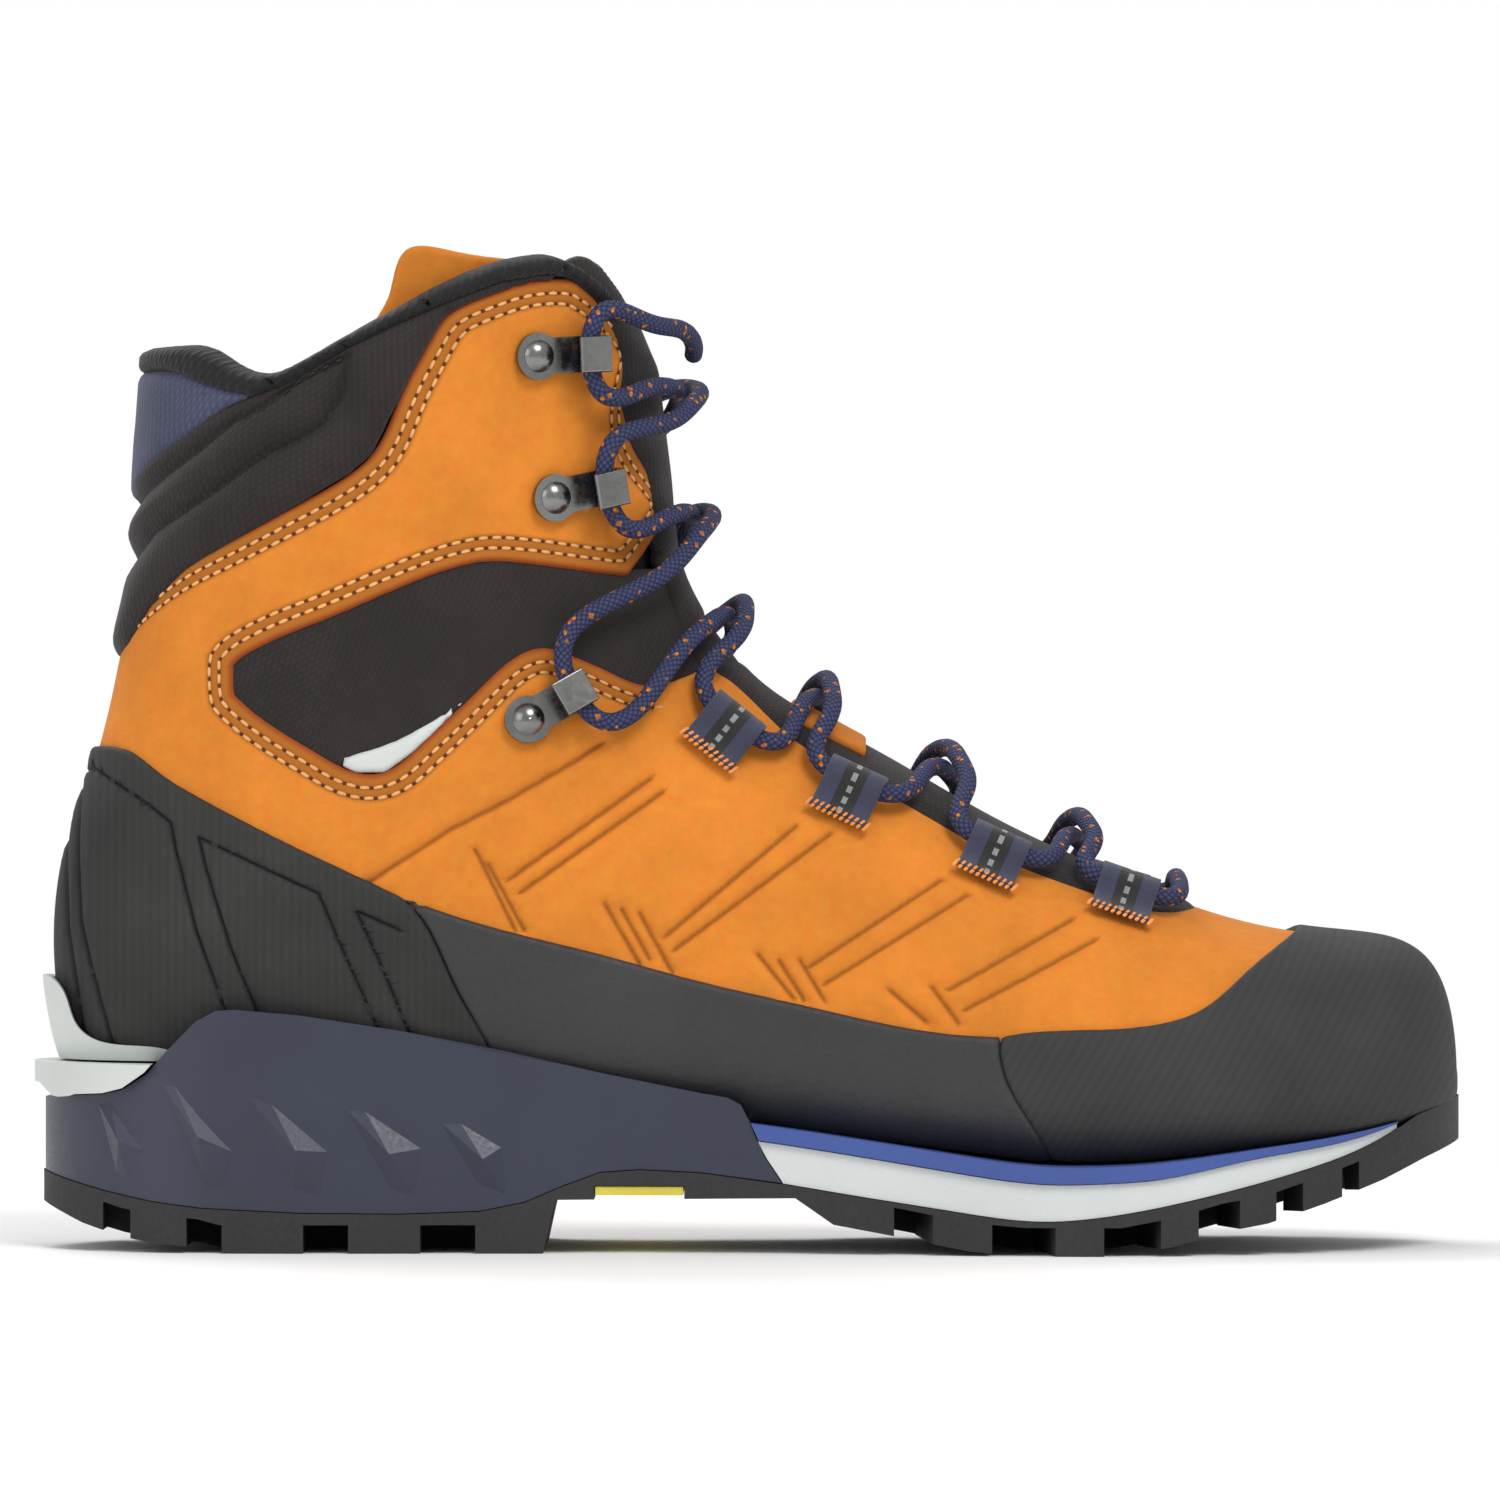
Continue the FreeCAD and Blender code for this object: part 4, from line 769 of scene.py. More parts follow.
def ribbed(name, colour, pitch, turn=0.0, grooved=False):
    """Rubber with fine ribs one pitch wide, upright in the side view unless turned."""
    material, tree, surface = nodes_of(name)
    where = add(tree, "ShaderNodeTexCoord")
    mapping = add(tree, "ShaderNodeMapping")
    mapping.inputs["Rotation"].default_value = (0, turn, 0)
    link(tree, where.outputs["Object"], mapping.inputs["Vector"])
    wave = add(tree, "ShaderNodeTexWave", Scale=1 / pitch / HALF_BANDS, Distortion=1.2, Detail=2.0)
    wave.inputs["Detail Scale"].default_value = 0.6
    wave.bands_direction = "X"
    link(tree, mapping.outputs["Vector"], wave.inputs["Vector"])
    tint = patchy(tree, colour, 26.0, 4.0, 0.8, 1.25)
    # painted shade: the ribs' valleys are painted a little darker
    body = mix_colour(tree, 0.16, tint.outputs["Color"], wave.outputs["Color"], "MULTIPLY")
    if grooved:
        # painted shade: the heel rand's score lines are painted nearly black, where shade falls in them
        body = mix_colour(tree, mark(tree, "groove", 0.3 * MM, 0.9 * MM), body, shade(colour, 0.15))
    link(tree, body, surface.inputs["Base Color"])
    set_inputs(surface, {"Roughness": 0.75, "Specular IOR Level": 0.3})
    fine = noise(tree, 1500.0, 3.0)
    first = bump(tree, fine.outputs["Fac"], 0.15, 0.2 * MM)
    link(tree, bump(tree, wave.outputs["Fac"], 0.25, 0.2 * MM, first), surface.inputs["Normal"])
    return material


LEATHER_COLOUR = (0.640, 0.205, 0.022)
RAW_EDGE = (0.30, 0.058, 0.008)       # the leather's cut edge
LEATHER = nubuck("orange_nubuck", LEATHER_COLOUR, edged=True)
PLAIN_LEATHER = nubuck("orange_nubuck_trim", shade(LEATHER_COLOUR, 0.8))
# dark pits at the needle holes: painted shade in the holes
HOLE = grained("needle_holes", (0.10, 0.022, 0.005), 0.9)
SOFTSHELL = woven("dark_softshell", (0.030, 0.023, 0.023), 0.7 * MM)
WINDOW_CLOTH = woven("window_softshell", (0.028, 0.022, 0.020), 0.7 * MM)
NAVY_CLOTH = woven("navy_softshell", (0.070, 0.078, 0.140), 0.8 * MM)
RIM_MESH = woven("rim_mesh", (0.016, 0.015, 0.015), 1.1 * MM, depth=0.8)
LINING = woven("black_lining", (0.030, 0.030, 0.034), 1.0 * MM)
HEEL_RUBBER = ribbed("heel_rand_rubber", (0.030, 0.030, 0.029), 0.95 * MM, grooved=True)
TOE_RUBBER = ribbed("toe_rand_rubber", (0.037, 0.037, 0.037), 1.0 * MM, turn=math.radians(-30))
SIDE_RUBBER = grained("side_rand_rubber", (0.027, 0.027, 0.029), 0.6, grain=700.0, depth=0.6)
SOLE_RUBBER = grained("outsole_rubber", (0.020, 0.020, 0.021), 0.72, grain=900.0, depth=0.25)
YELLOW_RUBBER = grained("yellow_rubber", (0.62, 0.52, 0.06), 0.6)
NAVY_PLASTIC = grained("navy_plastic", (0.024, 0.028, 0.052), 0.38, grain=1200.0, depth=0.06, spread=0.12)
GREY_FOAM = grained("grey_foam", (0.60, 0.63, 0.62), 0.75, grain=1400.0, depth=0.25, spread=0.05)
BLUE_FOAM = grained("blue_foam", (0.045, 0.085, 0.30), 0.7, grain=1400.0, depth=0.25, spread=0.08)
GREY_PLASTIC = grained("grey_plastic", (0.57, 0.60, 0.58), 0.5, grain=1000.0, depth=0.05, spread=0.05)
METAL = grained("dark_nickel", (0.26, 0.26, 0.25), 0.26, grain=600.0, depth=0.04, spread=0.25, metallic=1.0)
CORD = braided("lace_cord", (0.040, 0.046, 0.110), (0.80, 0.24, 0.02), 2.6 * MM)
WEBBING = striped_webbing("loop_webbing", (0.046, 0.052, 0.105))
BAR_TACK = grained("bar_tack_thread", (0.80, 0.27, 0.06), 0.7, grain=1500.0, depth=0.4)
BLACK_THREAD = grained("black_thread", (0.012, 0.012, 0.012), 0.8)
THREAD = grained("stitch_thread", (0.75, 0.38, 0.13), 0.7, grain=1500.0, depth=0.4)
INNER_FOAM = grained("inner_foam", (0.25, 0.25, 0.25), 0.9)


# ---------------------------------------------------------------- threads
THREAD_SIDES = 6
# share of a thread's length, share of its radius
THREAD_PROFILE = ((0.0, 0.0), (0.12, 0.75), (0.5, 1.0), (0.88, 0.75), (1.0, 0.0))


def threads(name, starts, ends, normals, radius, material, flat=0.75):
    """Short thread pieces from start to end, a little flattened along the normal, as one mesh."""
    starts, ends, normals = (np.asarray(v, float) for v in (starts, ends, normals))
    along = ends - starts
    across = np.cross(normals, along)
    across /= np.linalg.norm(across, axis=1, keepdims=True)
    up = np.cross(along, across)
    up /= np.linalg.norm(up, axis=1, keepdims=True)
    rings = []
    for share, size in THREAD_PROFILE:
        middle = starts + along * share
        if size == 0:
            rings.append(middle[:, None, :])
            continue
        turns = [2 * math.pi * k / THREAD_SIDES for k in range(THREAD_SIDES)]
        rings.append(np.stack([middle + radius * size * (across * math.cos(a) + up * math.sin(a) * flat)
                               for a in turns], 1))
    one = np.concatenate(rings, 1)
    count = one.shape[1]
    faces = []
    for k in range(THREAD_SIDES):
        m = (k + 1) % THREAD_SIDES
        faces.append((0, 1 + m, 1 + k))
        for ring in range(len(THREAD_PROFILE) - 3):
            a = 1 + ring * THREAD_SIDES
            faces.append((a + k, a + m, a + THREAD_SIDES + m, a + THREAD_SIDES + k))
        a = 1 + (len(THREAD_PROFILE) - 3) * THREAD_SIDES
        faces.append((a + k, a + m, count - 1))
    every = [tuple(i + count * n for i in f) for n in range(len(one)) for f in faces]
    return new_mesh(name, one.reshape(-1, 3), every, material)


def along_line(line, pitch):
    """Rows of grid values every pitch along a line of them."""
    steps = np.linalg.norm(np.diff(line[:, CO], axis=0), axis=1)
    run = np.concatenate([[0], np.cumsum(steps)])
    places = np.arange(0, run[-1], pitch)
    return np.column_stack([np.interp(places, run, line[:, k]) for k in range(line.shape[1])])


STITCH_PITCH = 2.9 * MM
STITCH_LENGTH = 0.74                  # share of the pitch
STITCH_RADIUS = 0.42 * MM
HOLE_PLACE = 0.88                     # share of the pitch
HOLE_DEPTH = 0.12 * MM


def stitches(name, distance, levels, height, keep):
    """Rows of stitches at these distances from a panel's edge, and dark pits of painted shade at the needle
    holes between them.
    """
    starts, ends, normals, holes = [], [], [], []
    for level in levels:
        for line in contour(distance, level):
            marks = along_line(line, STITCH_PITCH)
            for a, b in zip(marks, marks[1:]):
                if not keep(a) or np.linalg.norm(b[CO] - a[CO]) > 1.5 * STITCH_PITCH:
                    continue
                lift = a[NO] * height
                middle = a[CO] * (1 - STITCH_LENGTH) + b[CO] * STITCH_LENGTH
                starts.append(a[CO] + lift)
                ends.append(middle + lift)
                normals.append(a[NO])
                holes.append(a[CO] * (1 - HOLE_PLACE) + b[CO] * HOLE_PLACE + lift)
    seam = threads(name, starts, ends, normals, STITCH_RADIUS, THREAD)
    normals = np.array(normals)
    side = np.cross(normals, np.array(ends) - np.array(starts))
    side *= STITCH_RADIUS / np.linalg.norm(side, axis=1, keepdims=True)
    sunk = np.array(holes) - normals * HOLE_DEPTH
    pits = threads(name + "_holes", sunk - side, sunk + side, normals, STITCH_RADIUS, HOLE, flat=0.5)
    return seam, pits


# ---------------------------------------------------------------- how pieces join the frame
def stand_in(piece, slot, *nodes):
    """Hides these CAD nodes, so that the piece is seen in their place; piece and slot are not used."""
    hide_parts(*nodes)


def bend_with_ankle(piece):
    """Bakes the piece's transform into its mesh."""
    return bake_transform(piece)


def bend_with_tongue(piece):
    """Bakes the piece's transform into its mesh."""
    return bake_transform(piece)


# ---------------------------------------------------------------- the upper
NECK_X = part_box("ankle_softshell")[0].x + 0.6 * MM
NECK_HALF = 3.5 * MM


def in_neck(co):
    """The narrow gap the CAD leaves in the leather behind the ankle, where real leather just bends."""
    return co[0] < NECK_X and abs(co[2] - ANKLE[2]) < NECK_HALF


# lines on the side view, in millimetres: x from the heel's middle, z from the ground
CREASE = [[(13.7, 77.5), (31.5, 89.0), (42.0, 94.3), (56.7, 102.7), (63.0, 106.9)]]
EMBOSSED = [[(43.7, 78.5), (73.5, 99.5)], [(46.2, 75.8), (76.0, 96.6)], [(36.8, 84.8), (45.1, 68.0)],
            [(39.5, 81.7), (47.0, 68.0)],
            [(76.6, 66.4), (104.0, 89.0)], [(78.8, 63.8), (111.3, 87.4)], [(64.0, 73.3), (71.4, 60.7)],
            [(67.6, 72.2), (73.5, 61.7)], [(71.4, 71.2), (78.1, 59.2)],
            [(107.1, 60.1), (134.4, 77.5)], [(110.2, 56.5), (139.7, 74.3)], [(96.2, 62.8), (104.0, 53.3)],
            [(100.8, 61.3), (106.0, 53.3)], [(105.0, 61.7), (110.2, 53.3)],
            [(136.5, 55.4), (162.1, 69.1)], [(139.7, 51.2), (166.9, 64.9)], [(123.9, 55.4), (132.3, 48.1)],
            [(132.3, 56.5), (138.6, 48.1)]]
GROOVE_WIDTH = 0.75 * MM
GROOVE_DEPTH = 0.85 * MM
STITCH_ROWS = (3.0 * MM, 5.2 * MM)    # distances from the leather's edge
SEAM_WIDTH, SEAM_DEPTH = 0.5 * MM, 0.4 * MM      # of the dip that a stitch row pulls into the leather
LEATHER_TOP = 2.1 * MM


def stitched(points):
    """1 where the leather's edge is stitched: round the cuff and the window, above the rands."""
    return ease(points[:, 2], 90 * MM, 92 * MM) * (1 - ease(points[:, 0], 73 * MM, 75 * MM))


def leather_relief(points):
    groove = line_distance(points, CREASE + EMBOSSED)
    valley = -GROOVE_DEPTH * np.exp(-(groove / GROOVE_WIDTH) ** 2)
    swell = 0.35 * MM * np.exp(-((groove - 2.6 * MM) / (1.2 * MM)) ** 2)
    seam = sum(np.exp(-((points[:, EDGE] - row) / SEAM_WIDTH) ** 2) for row in STITCH_ROWS)
    return valley + swell - SEAM_DEPTH * seam * stitched(points)


def leather_marks(points):
    groove = line_distance(points, CREASE + EMBOSSED)
    edge = np.where(stitched(points) > 0.5, points[:, EDGE], DEEP)
    # the groove value marks where the nubuck paints shade into the grooves
    return {"edge": edge, "groove": GROOVE_DEPTH * np.exp(-(groove / (0.6 * MM)) ** 2)}


def build_leather():
    distance = cover_distance(["vamp_leather", "cuff_leather"], also=in_neck)
    beside = [row + shift for row in STITCH_ROWS for shift in (-SEAM_WIDTH, 0.0, SEAM_WIDTH)]
    piece = panel("leather_upper", distance, 0.1 * MM, LEATHER_TOP, LEATHER,
                  levels=EDGE_LEVELS + tuple(beside), relief=leather_relief,
                  cut_lines=(CREASE + EMBOSSED, GROOVE_WIDTH), marks=leather_marks)
    stand_in(piece, "orange_nubuck", "vamp_leather", "cuff_leather")
    bend_with_ankle(piece)
    height = LEATHER_TOP - HOLE_DEPTH
    for seam in stitches("leather_stitches", distance, STITCH_ROWS, height,
                         lambda point: stitched(point[None, :])[0] > 0.5):
        bend_with_ankle(seam)


WINDOW_TOP = 1.3 * MM
WINDOW_SPREAD = 1.5 * MM              # how far the cloth reaches under the leather
ACCENT_HEIGHTS = (0.1 * MM, 2.3 * MM)
ACCENT_END = 4.5 * MM                 # the CAD strip's end, which is hair-thin, is cut off here


def build_window():
    distance = cover_distance(["ankle_softshell"]) + WINDOW_SPREAD
    piece = panel("ankle_window", distance, 0.0, WINDOW_TOP, WINDOW_CLOTH)
    stand_in(piece, "dark_softshell", "ankle_softshell")
    bend_with_ankle(piece)


def build_accent():
    distance = cover_distance(["ankle_accent"]) + 0.3 * MM
    blunt_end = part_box("ankle_accent")[1].x - ACCENT_END - GRID[:, 0]
    piece = panel("ankle_accent_strip", np.minimum(distance, blunt_end), *ACCENT_HEIGHTS, GREY_PLASTIC)
    stand_in(piece, "grey_plastic", "ankle_accent")
    bend_with_ankle(piece)


CHANNELS = [[(-40.0, 150.0), (-38.2, 158.3), (-36.8, 162.5), (-33.6, 166.7), (-29.4, 170.9), (-23.1, 174.1),
             (-17.8, 178.3), (-10.5, 181.4)],
            [(-40.0, 140.0), (-38.2, 145.7), (-37.2, 151.0), (-35.7, 155.2), (-31.5, 160.4), (-26.2, 164.6),
             (-18.9, 169.9), (-12.6, 175.1), (-6.3, 178.3), (0.0, 183.5), (10.5, 188.4)],
            [(-40.0, 131.5), (-38.2, 137.3), (-36.8, 142.6), (-33.6, 146.8), (-29.4, 152.0), (-23.1, 156.2),
             (-16.8, 160.4), (-10.5, 165.1), (-5.2, 168.8), (0.0, 170.9), (5.2, 174.1), (7.3, 177.2),
             (9.4, 180.4), (10.5, 188.8)]]
CHANNEL_WIDTH = 1.0 * MM
CHANNEL_DEPTH = 1.6 * MM              # of the stitches under the CAD collar
CHANNEL_STITCH = 1.45 * MM            # length of a stitch and of the gap after it
PAD_TOP = 4.0 * MM


def collar_relief(points):
    """Stitched channels pressed into the padding, which swells between them."""
    seam = line_distance(points, CHANNELS)
    valley = -2.3 * MM * np.exp(-(seam / (1.5 * MM)) ** 1.3)
    swell = 0.9 * MM * ease(seam, 0.0, 5 * MM) * ease(points[:, EDGE], 0.0, 6 * MM)
    return valley * ease(points[:, EDGE], 0.0, 1.5 * MM) + swell


def channel_marks(points):
    return {"groove": 1.0 * MM * np.exp(-(line_distance(points, CHANNELS) / (0.8 * MM)) ** 2)}


def channel_stitches():
    """The visible stitches in the middle channel."""
    nearest = point_tree(GRID[:, CO])
    starts, ends, normals = [], [], []
    surface = tree_of("collar")
    for look in (1.0, -1.0):
        line = []
        for a, b in segments_of([CHANNELS[1][2:]]):
            count = max(1, int(np.linalg.norm(b - a) / CHANNEL_STITCH))
            line += [a + (b - a) * k / count for k in range(count)]
        for a, b in zip(line[::2], line[1::2]):
            hits = [surface.ray_cast(Vector((x, -look * FAR, z)), Vector((0, look, 0)))[0]
                    for x, z in (a, b)]
            if hits[0] is None or hits[1] is None:
                continue
            normal = GRID[nearest.find(hits[0])[1], NO]
            starts.append(np.array(hits[0]) - normal * CHANNEL_DEPTH)
            ends.append(np.array(hits[1]) - normal * CHANNEL_DEPTH)
            normals.append(normal)
    return threads("collar_stitches", starts, ends, normals, 0.35 * MM, BLACK_THREAD)


def build_collar_pad():
    distance = cover_distance(["collar"]) + 0.2 * MM
    piece = panel("collar_pad", distance, 0.0, PAD_TOP, SOFTSHELL, radius=4 * MM,
                  levels=(0.4 * MM, 1.2 * MM, 2.4 * MM, 4 * MM), relief=collar_relief,
                  cut_lines=(CHANNELS, CHANNEL_WIDTH), marks=channel_marks)
    stand_in(piece, "dark_softshell", "collar", "collar_foam")
    bend_with_ankle(piece)
    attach(channel_stitches(), "cuff")


def build_collar_back():
    distance = cover_distance(["heel_collar_panel"]) + 0.2 * MM
    piece = panel("collar_back_panel", distance, 0.0, PAD_TOP, NAVY_CLOTH, radius=3 * MM,
                  levels=(0.4 * MM, 1.2 * MM, 2.2 * MM, 3 * MM))
    stand_in(piece, "navy_softshell", "heel_collar_panel")
    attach(piece, "cuff")


# the binding's roll: middle height over the reference surface, and its swell outwards and inwards
BINDING_MIDDLE, BINDING_OUT, BINDING_IN = -1.5, 5.6, 3.2
BINDING_RADIUS = 2.2 * MM


def build_collar_binding():
    distance = cover_distance(["collar_rim"]) + 0.3 * MM
    points, faces = cover_mesh(distance, (0.4 * MM, 1.2 * MM, BINDING_RADIUS))
    swell = rounded(points[:, EDGE], BINDING_RADIUS, 0.1)
    piece = sheet("collar_binding", points, faces, (BINDING_MIDDLE + BINDING_OUT * swell) * MM,
                  (BINDING_MIDDLE - BINDING_IN * swell) * MM, RIM_MESH)
    stand_in(piece, "black_mesh", "collar_rim")
    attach(piece, "cuff")


HEEL_GROOVES = [[(-46.6, 99.1), (-47.7, 84.8), (-47.2, 68.0), (-45.1, 53.3), (-44.1, 46.0)],
                [(-38.2, 43.9), (-42.4, 59.6), (-44.7, 70.1), (-45.1, 84.8), (-44.5, 100.0), (-42.0, 101.4),
                 (-31.5, 94.7), (-26.2, 90.5), (-25.2, 84.8), (-21.0, 68.0), (-15.1, 51.2)],
                [(-8.4, 50.8), (-13.7, 63.8), (-18.9, 80.6), (-20.4, 87.4), (-4.2, 79.6), (4.2, 75.8),
                 (8.4, 65.9), (17.0, 47.5)],
                [(23.5, 46.6), (17.8, 59.6), (12.0, 72.2), (21.0, 68.2)]]
SCORE_WIDTH = 0.4 * MM
RAND_HEIGHTS = (1.4 * MM, 3.7 * MM)


def heel_relief(points):
    return -0.9 * MM * np.exp(-(line_distance(points, HEEL_GROOVES) / SCORE_WIDTH) ** 2)


def heel_marks(points):
    # the groove value marks where the heel rubber paints shade into its score lines
    return {"groove": MM * np.exp(-(line_distance(points, HEEL_GROOVES) / (1.3 * SCORE_WIDTH)) ** 2)}


def build_rand(node, name, material, **scored):
    distance = cover_distance([node]) + 0.1 * MM
    piece = panel(name, distance, *RAND_HEIGHTS, material, **scored)
    stand_in(piece, "rand_rubber", node)
    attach(piece, "lower")


def build_rands():
    build_rand("heel_rand", "heel_rand_cap", HEEL_RUBBER, relief=heel_relief, marks=heel_marks,
               cut_lines=(HEEL_GROOVES, SCORE_WIDTH))
    build_rand("side_rand", "side_rand_strip", SIDE_RUBBER)
    build_rand("toe_rand", "toe_rand_cap", TOE_RUBBER)


TONGUE_HEIGHTS = (-7.4 * MM, -5.4 * MM)      # of the tongue's leather flap and lining
TAB_HEIGHTS = (2.6 * MM, 4.4 * MM)
PAD_LOW = -0.5 * MM
PAD_SPREAD = 3.0 * MM                        # how far the pads reach under their neighbours


def tongue_pad(name, node, high):
    distance = cover_distance([node]) + PAD_SPREAD
    piece = panel(name, distance, PAD_LOW, high, SOFTSHELL, radius=5 * MM,
                  levels=(1 * MM, 2.5 * MM, 5 * MM))
    stand_in(piece, "dark_softshell", node)
    return piece


def tongue_layer(name, node, heights, material, slot, body, **search):
    """A sheet in place of a CAD node; search is how far cover_distance looks for the node."""
    piece = panel(name, cover_distance([node], **search), *heights, material)
    stand_in(piece, slot, node)
    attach(piece, body)


def build_tongue():
    bend_with_ankle(tongue_pad("tongue_lower_pad", "tongue_lower", 2.9 * MM))
    bend_with_tongue(tongue_pad("tongue_upper_pad", "tongue_upper", 3.0 * MM))
    inward = {"reach": 2 * MM, "depth": 9 * MM}
    tongue_layer("tongue_flap", "tongue_top_flap", TONGUE_HEIGHTS, PLAIN_LEATHER, "orange_nubuck",
                 "tongue", **inward)
    tongue_layer("tongue_back", "tongue_lining", TONGUE_HEIGHTS, LINING, "black_lining",
                 "tongue", **inward)
    tongue_layer("tongue_tab", "tongue_patch", TAB_HEIGHTS, PLAIN_LEATHER, "orange_nubuck", "lower")


# ---------------------------------------------------------------- webbing loops
LOOP_LENGTH = 12.6 * MM
STRAP = 0.9 * MM
# path of the strap across the loop: from its stitched end, flat, round the lace and back under it
STRAP_FLAT = [(9.0, 0.25), (7.4, 0.35), (5.8, 0.7), (4.4, 1.5), (3.4, 2.6)]
STRAP_RADIUS = 2.8
STRAP_AXIS = 3.25
STRAP_TURN = range(10, 250, 15)       # degrees round the lace


def merged(data):
    """For each vertex, the first vertex at the same place."""
    places = {}
    return [places.setdefault(tuple(round(c / SNAP) for c in v.co), v.index) for v in data.vertices]


def islands(data):
    """Connected parts of a mesh, as lists of vertex numbers; vertices at one place count as one."""
    same = merged(data)
    parent = list(range(len(same)))

    def root(i):
        while parent[i] != i:
            parent[i] = parent[parent[i]]
            i = parent[i]
        return i

    for edge in data.edges:
        a, b = edge.vertices
        parent[root(same[a])] = root(same[b])
    groups = {}
    for i in range(len(same)):
        groups.setdefault(root(same[i]), []).append(i)
    return list(groups.values())


def loop_frames(node):
    """Origin, axis, outward and tail direction of each webbing loop, taken from its flat CAD faces."""
    data = frame["nodes"][node].data
    co = np.array([v.co for v in data.vertices])
    groups = sorted(islands(data), key=lambda group: co[group, 0].mean())
    centres = [co[group].mean(0) for group in groups]
    frames = []
    for k, group in enumerate(groups):
        member = set(group)
        faces = [f for f in data.polygons if f.vertices[0] in member]
        rough = centres[min(k + 1, len(groups) - 1)] - centres[max(k - 1, 0)]
        rough /= np.linalg.norm(rough)
        ends = [np.array(f.normal) * f.area for f in faces if abs(np.dot(f.normal, rough)) > 0.93]
        axis = sum(n * np.sign(n @ rough) for n in ends)
        axis /= np.linalg.norm(axis)
        near = GRID[np.argmin(np.linalg.norm(GRID[:, CO] - centres[k], axis=1)), NO]
        flat = max((f for f in faces if abs(np.dot(f.normal, axis)) < 0.3), key=lambda f: f.area)
        out = np.array(flat.normal) * np.sign(np.dot(flat.normal, near))
        out -= axis * (out @ axis)
        out /= np.linalg.norm(out)
        tail = np.cross(out, axis)
        tail *= -np.sign(tail[2])
        local = (co[group] - centres[k]) @ np.array([axis, tail, out]).T
        low, high = local.min(0), local.max(0)
        origin = (centres[k] + axis * (low[0] + high[0]) / 2 + tail * (low[1] + STRAP_AXIS * MM)
                  + out * low[2])
        frames.append((origin, axis, tail, out))
    return frames


def strap_path():
    """Points across the strap, towards the tail and outwards."""
    turn = [math.radians(a) for a in STRAP_TURN]
    over = [(STRAP_RADIUS * math.cos(a), STRAP_AXIS + STRAP_RADIUS * math.sin(a)) for a in turn]
    return np.array(STRAP_FLAT + over) * MM


STRAP_COLUMNS = 8
TACKS = 11                            # threads of one bar-tack
TACK_RADIUS = 0.5 * MM
TACK_SLANT = 0.45 * MM
TACK_START, TACK_END = (9.9 * MM, 0.45 * MM), (7.4 * MM, 1.3 * MM)    # towards the tail, and outwards


def strap_mesh(origin, axis, tail, out):
    """Points, UV and faces of one folded strap; UV is in units of the loop's length."""
    path = strap_path()
    step = np.linalg.norm(np.diff(path, axis=0), axis=1)
    run = np.concatenate([[0], np.cumsum(step)])
    tangent = np.gradient(path, axis=0)
    tangent /= np.linalg.norm(tangent, axis=1, keepdims=True)
    normal = np.column_stack([tangent[:, 1], -tangent[:, 0]])
    points, uv = [], []
    wide = STRAP_COLUMNS + 1
    for level in (0.5 * STRAP, -0.5 * STRAP):
        for (y, z), (ny, nz), v in zip(path, normal, run):
            for k in range(wide):
                u = (k / STRAP_COLUMNS - 0.5) * LOOP_LENGTH
                lift = z + nz * level + 0.5 * STRAP
                points.append(origin + axis * u + tail * (y + ny * level) + out * lift)
                uv.append((u / LOOP_LENGTH, v / LOOP_LENGTH))
    half = len(path) * wide
    corners = [r * wide + k for r in range(len(path) - 1) for k in range(STRAP_COLUMNS)]
    top = [(c, c + 1, c + wide + 1, c + wide) for c in corners]
    a, b, _, d = (points[i] for i in top[0])
    if np.cross(b - a, d - a) @ out < 0:
        top = [tuple(reversed(f)) for f in top]
    walls = [(j, i, i + half, j + half) for i, j in border_edges(top)]
    return points, uv, top + [tuple(i + half for i in reversed(f)) for f in top] + walls


def bar_tacks(name, frames):
    """The row of slanting threads that holds the end of each strap."""
    starts, ends, normals = [], [], []
    for origin, axis, tail, out in frames:
        for k in range(TACKS):
            u = (k / (TACKS - 1) - 0.5) * (LOOP_LENGTH + 0.8 * MM)
            starts.append(origin + axis * (u - TACK_SLANT) + tail * TACK_START[0] + out * TACK_START[1])
            ends.append(origin + axis * (u + TACK_SLANT) + tail * TACK_END[0] + out * TACK_END[1])
            normals.append(out)
    return threads(name, starts, ends, normals, TACK_RADIUS, BAR_TACK)


def build_loops():
    for side in ("outer", "inner"):
        node, name = "lace_loops_" + side, "webbing_loops_" + side
        frames = loop_frames(node)
        points, uv, faces = [], [], []
        for loop_frame in frames:
            base = len(points)
            strap_points, strap_uv, strap_faces = strap_mesh(*loop_frame)
            points += strap_points
            uv += strap_uv
            faces += [tuple(base + i for i in f) for f in strap_faces]
        loops = new_mesh(name, points, faces, WEBBING, uv=uv)
        stand_in(loops, "webbing", node)
        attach(loops, "lower")
        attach(bar_tacks(name + "_tacks", frames), "lower")


# ---------------------------------------------------------------- sculpted teeth of the heel frame
# per tooth, on the side view: the bar's upper two corners, its lower two, and the tip of its side face
TEETH = [[(-43.0, 31.0), (-40.5, 31.5), (-36.8, 15.5), (-39.0, 16.4), (-33.2, 21.6)],
         [(-29.4, 35.7), (-26.5, 35.1), (-16.6, 14.1), (-19.5, 13.2), (-14.3, 21.4)],
         [(-11.3, 33.2), (-5.9, 31.3), (4.0, 12.2), (-1.1, 13.7), (5.7, 21.4)],
         [(9.9, 30.2), (13.7, 29.8), (23.9, 12.2), (19.1, 13.7), (25.4, 22.1)],
         [(29.8, 27.3), (33.8, 27.3), (43.0, 12.6), (37.6, 14.7), (42.2, 22.3)]]
TOOTH_HEIGHT, RIM_HEIGHT = 2.4 * MM, 0.05 * MM      # of a tooth's ridge and of its rim over the wall
TOOTH_SUNK = 0.5 * MM


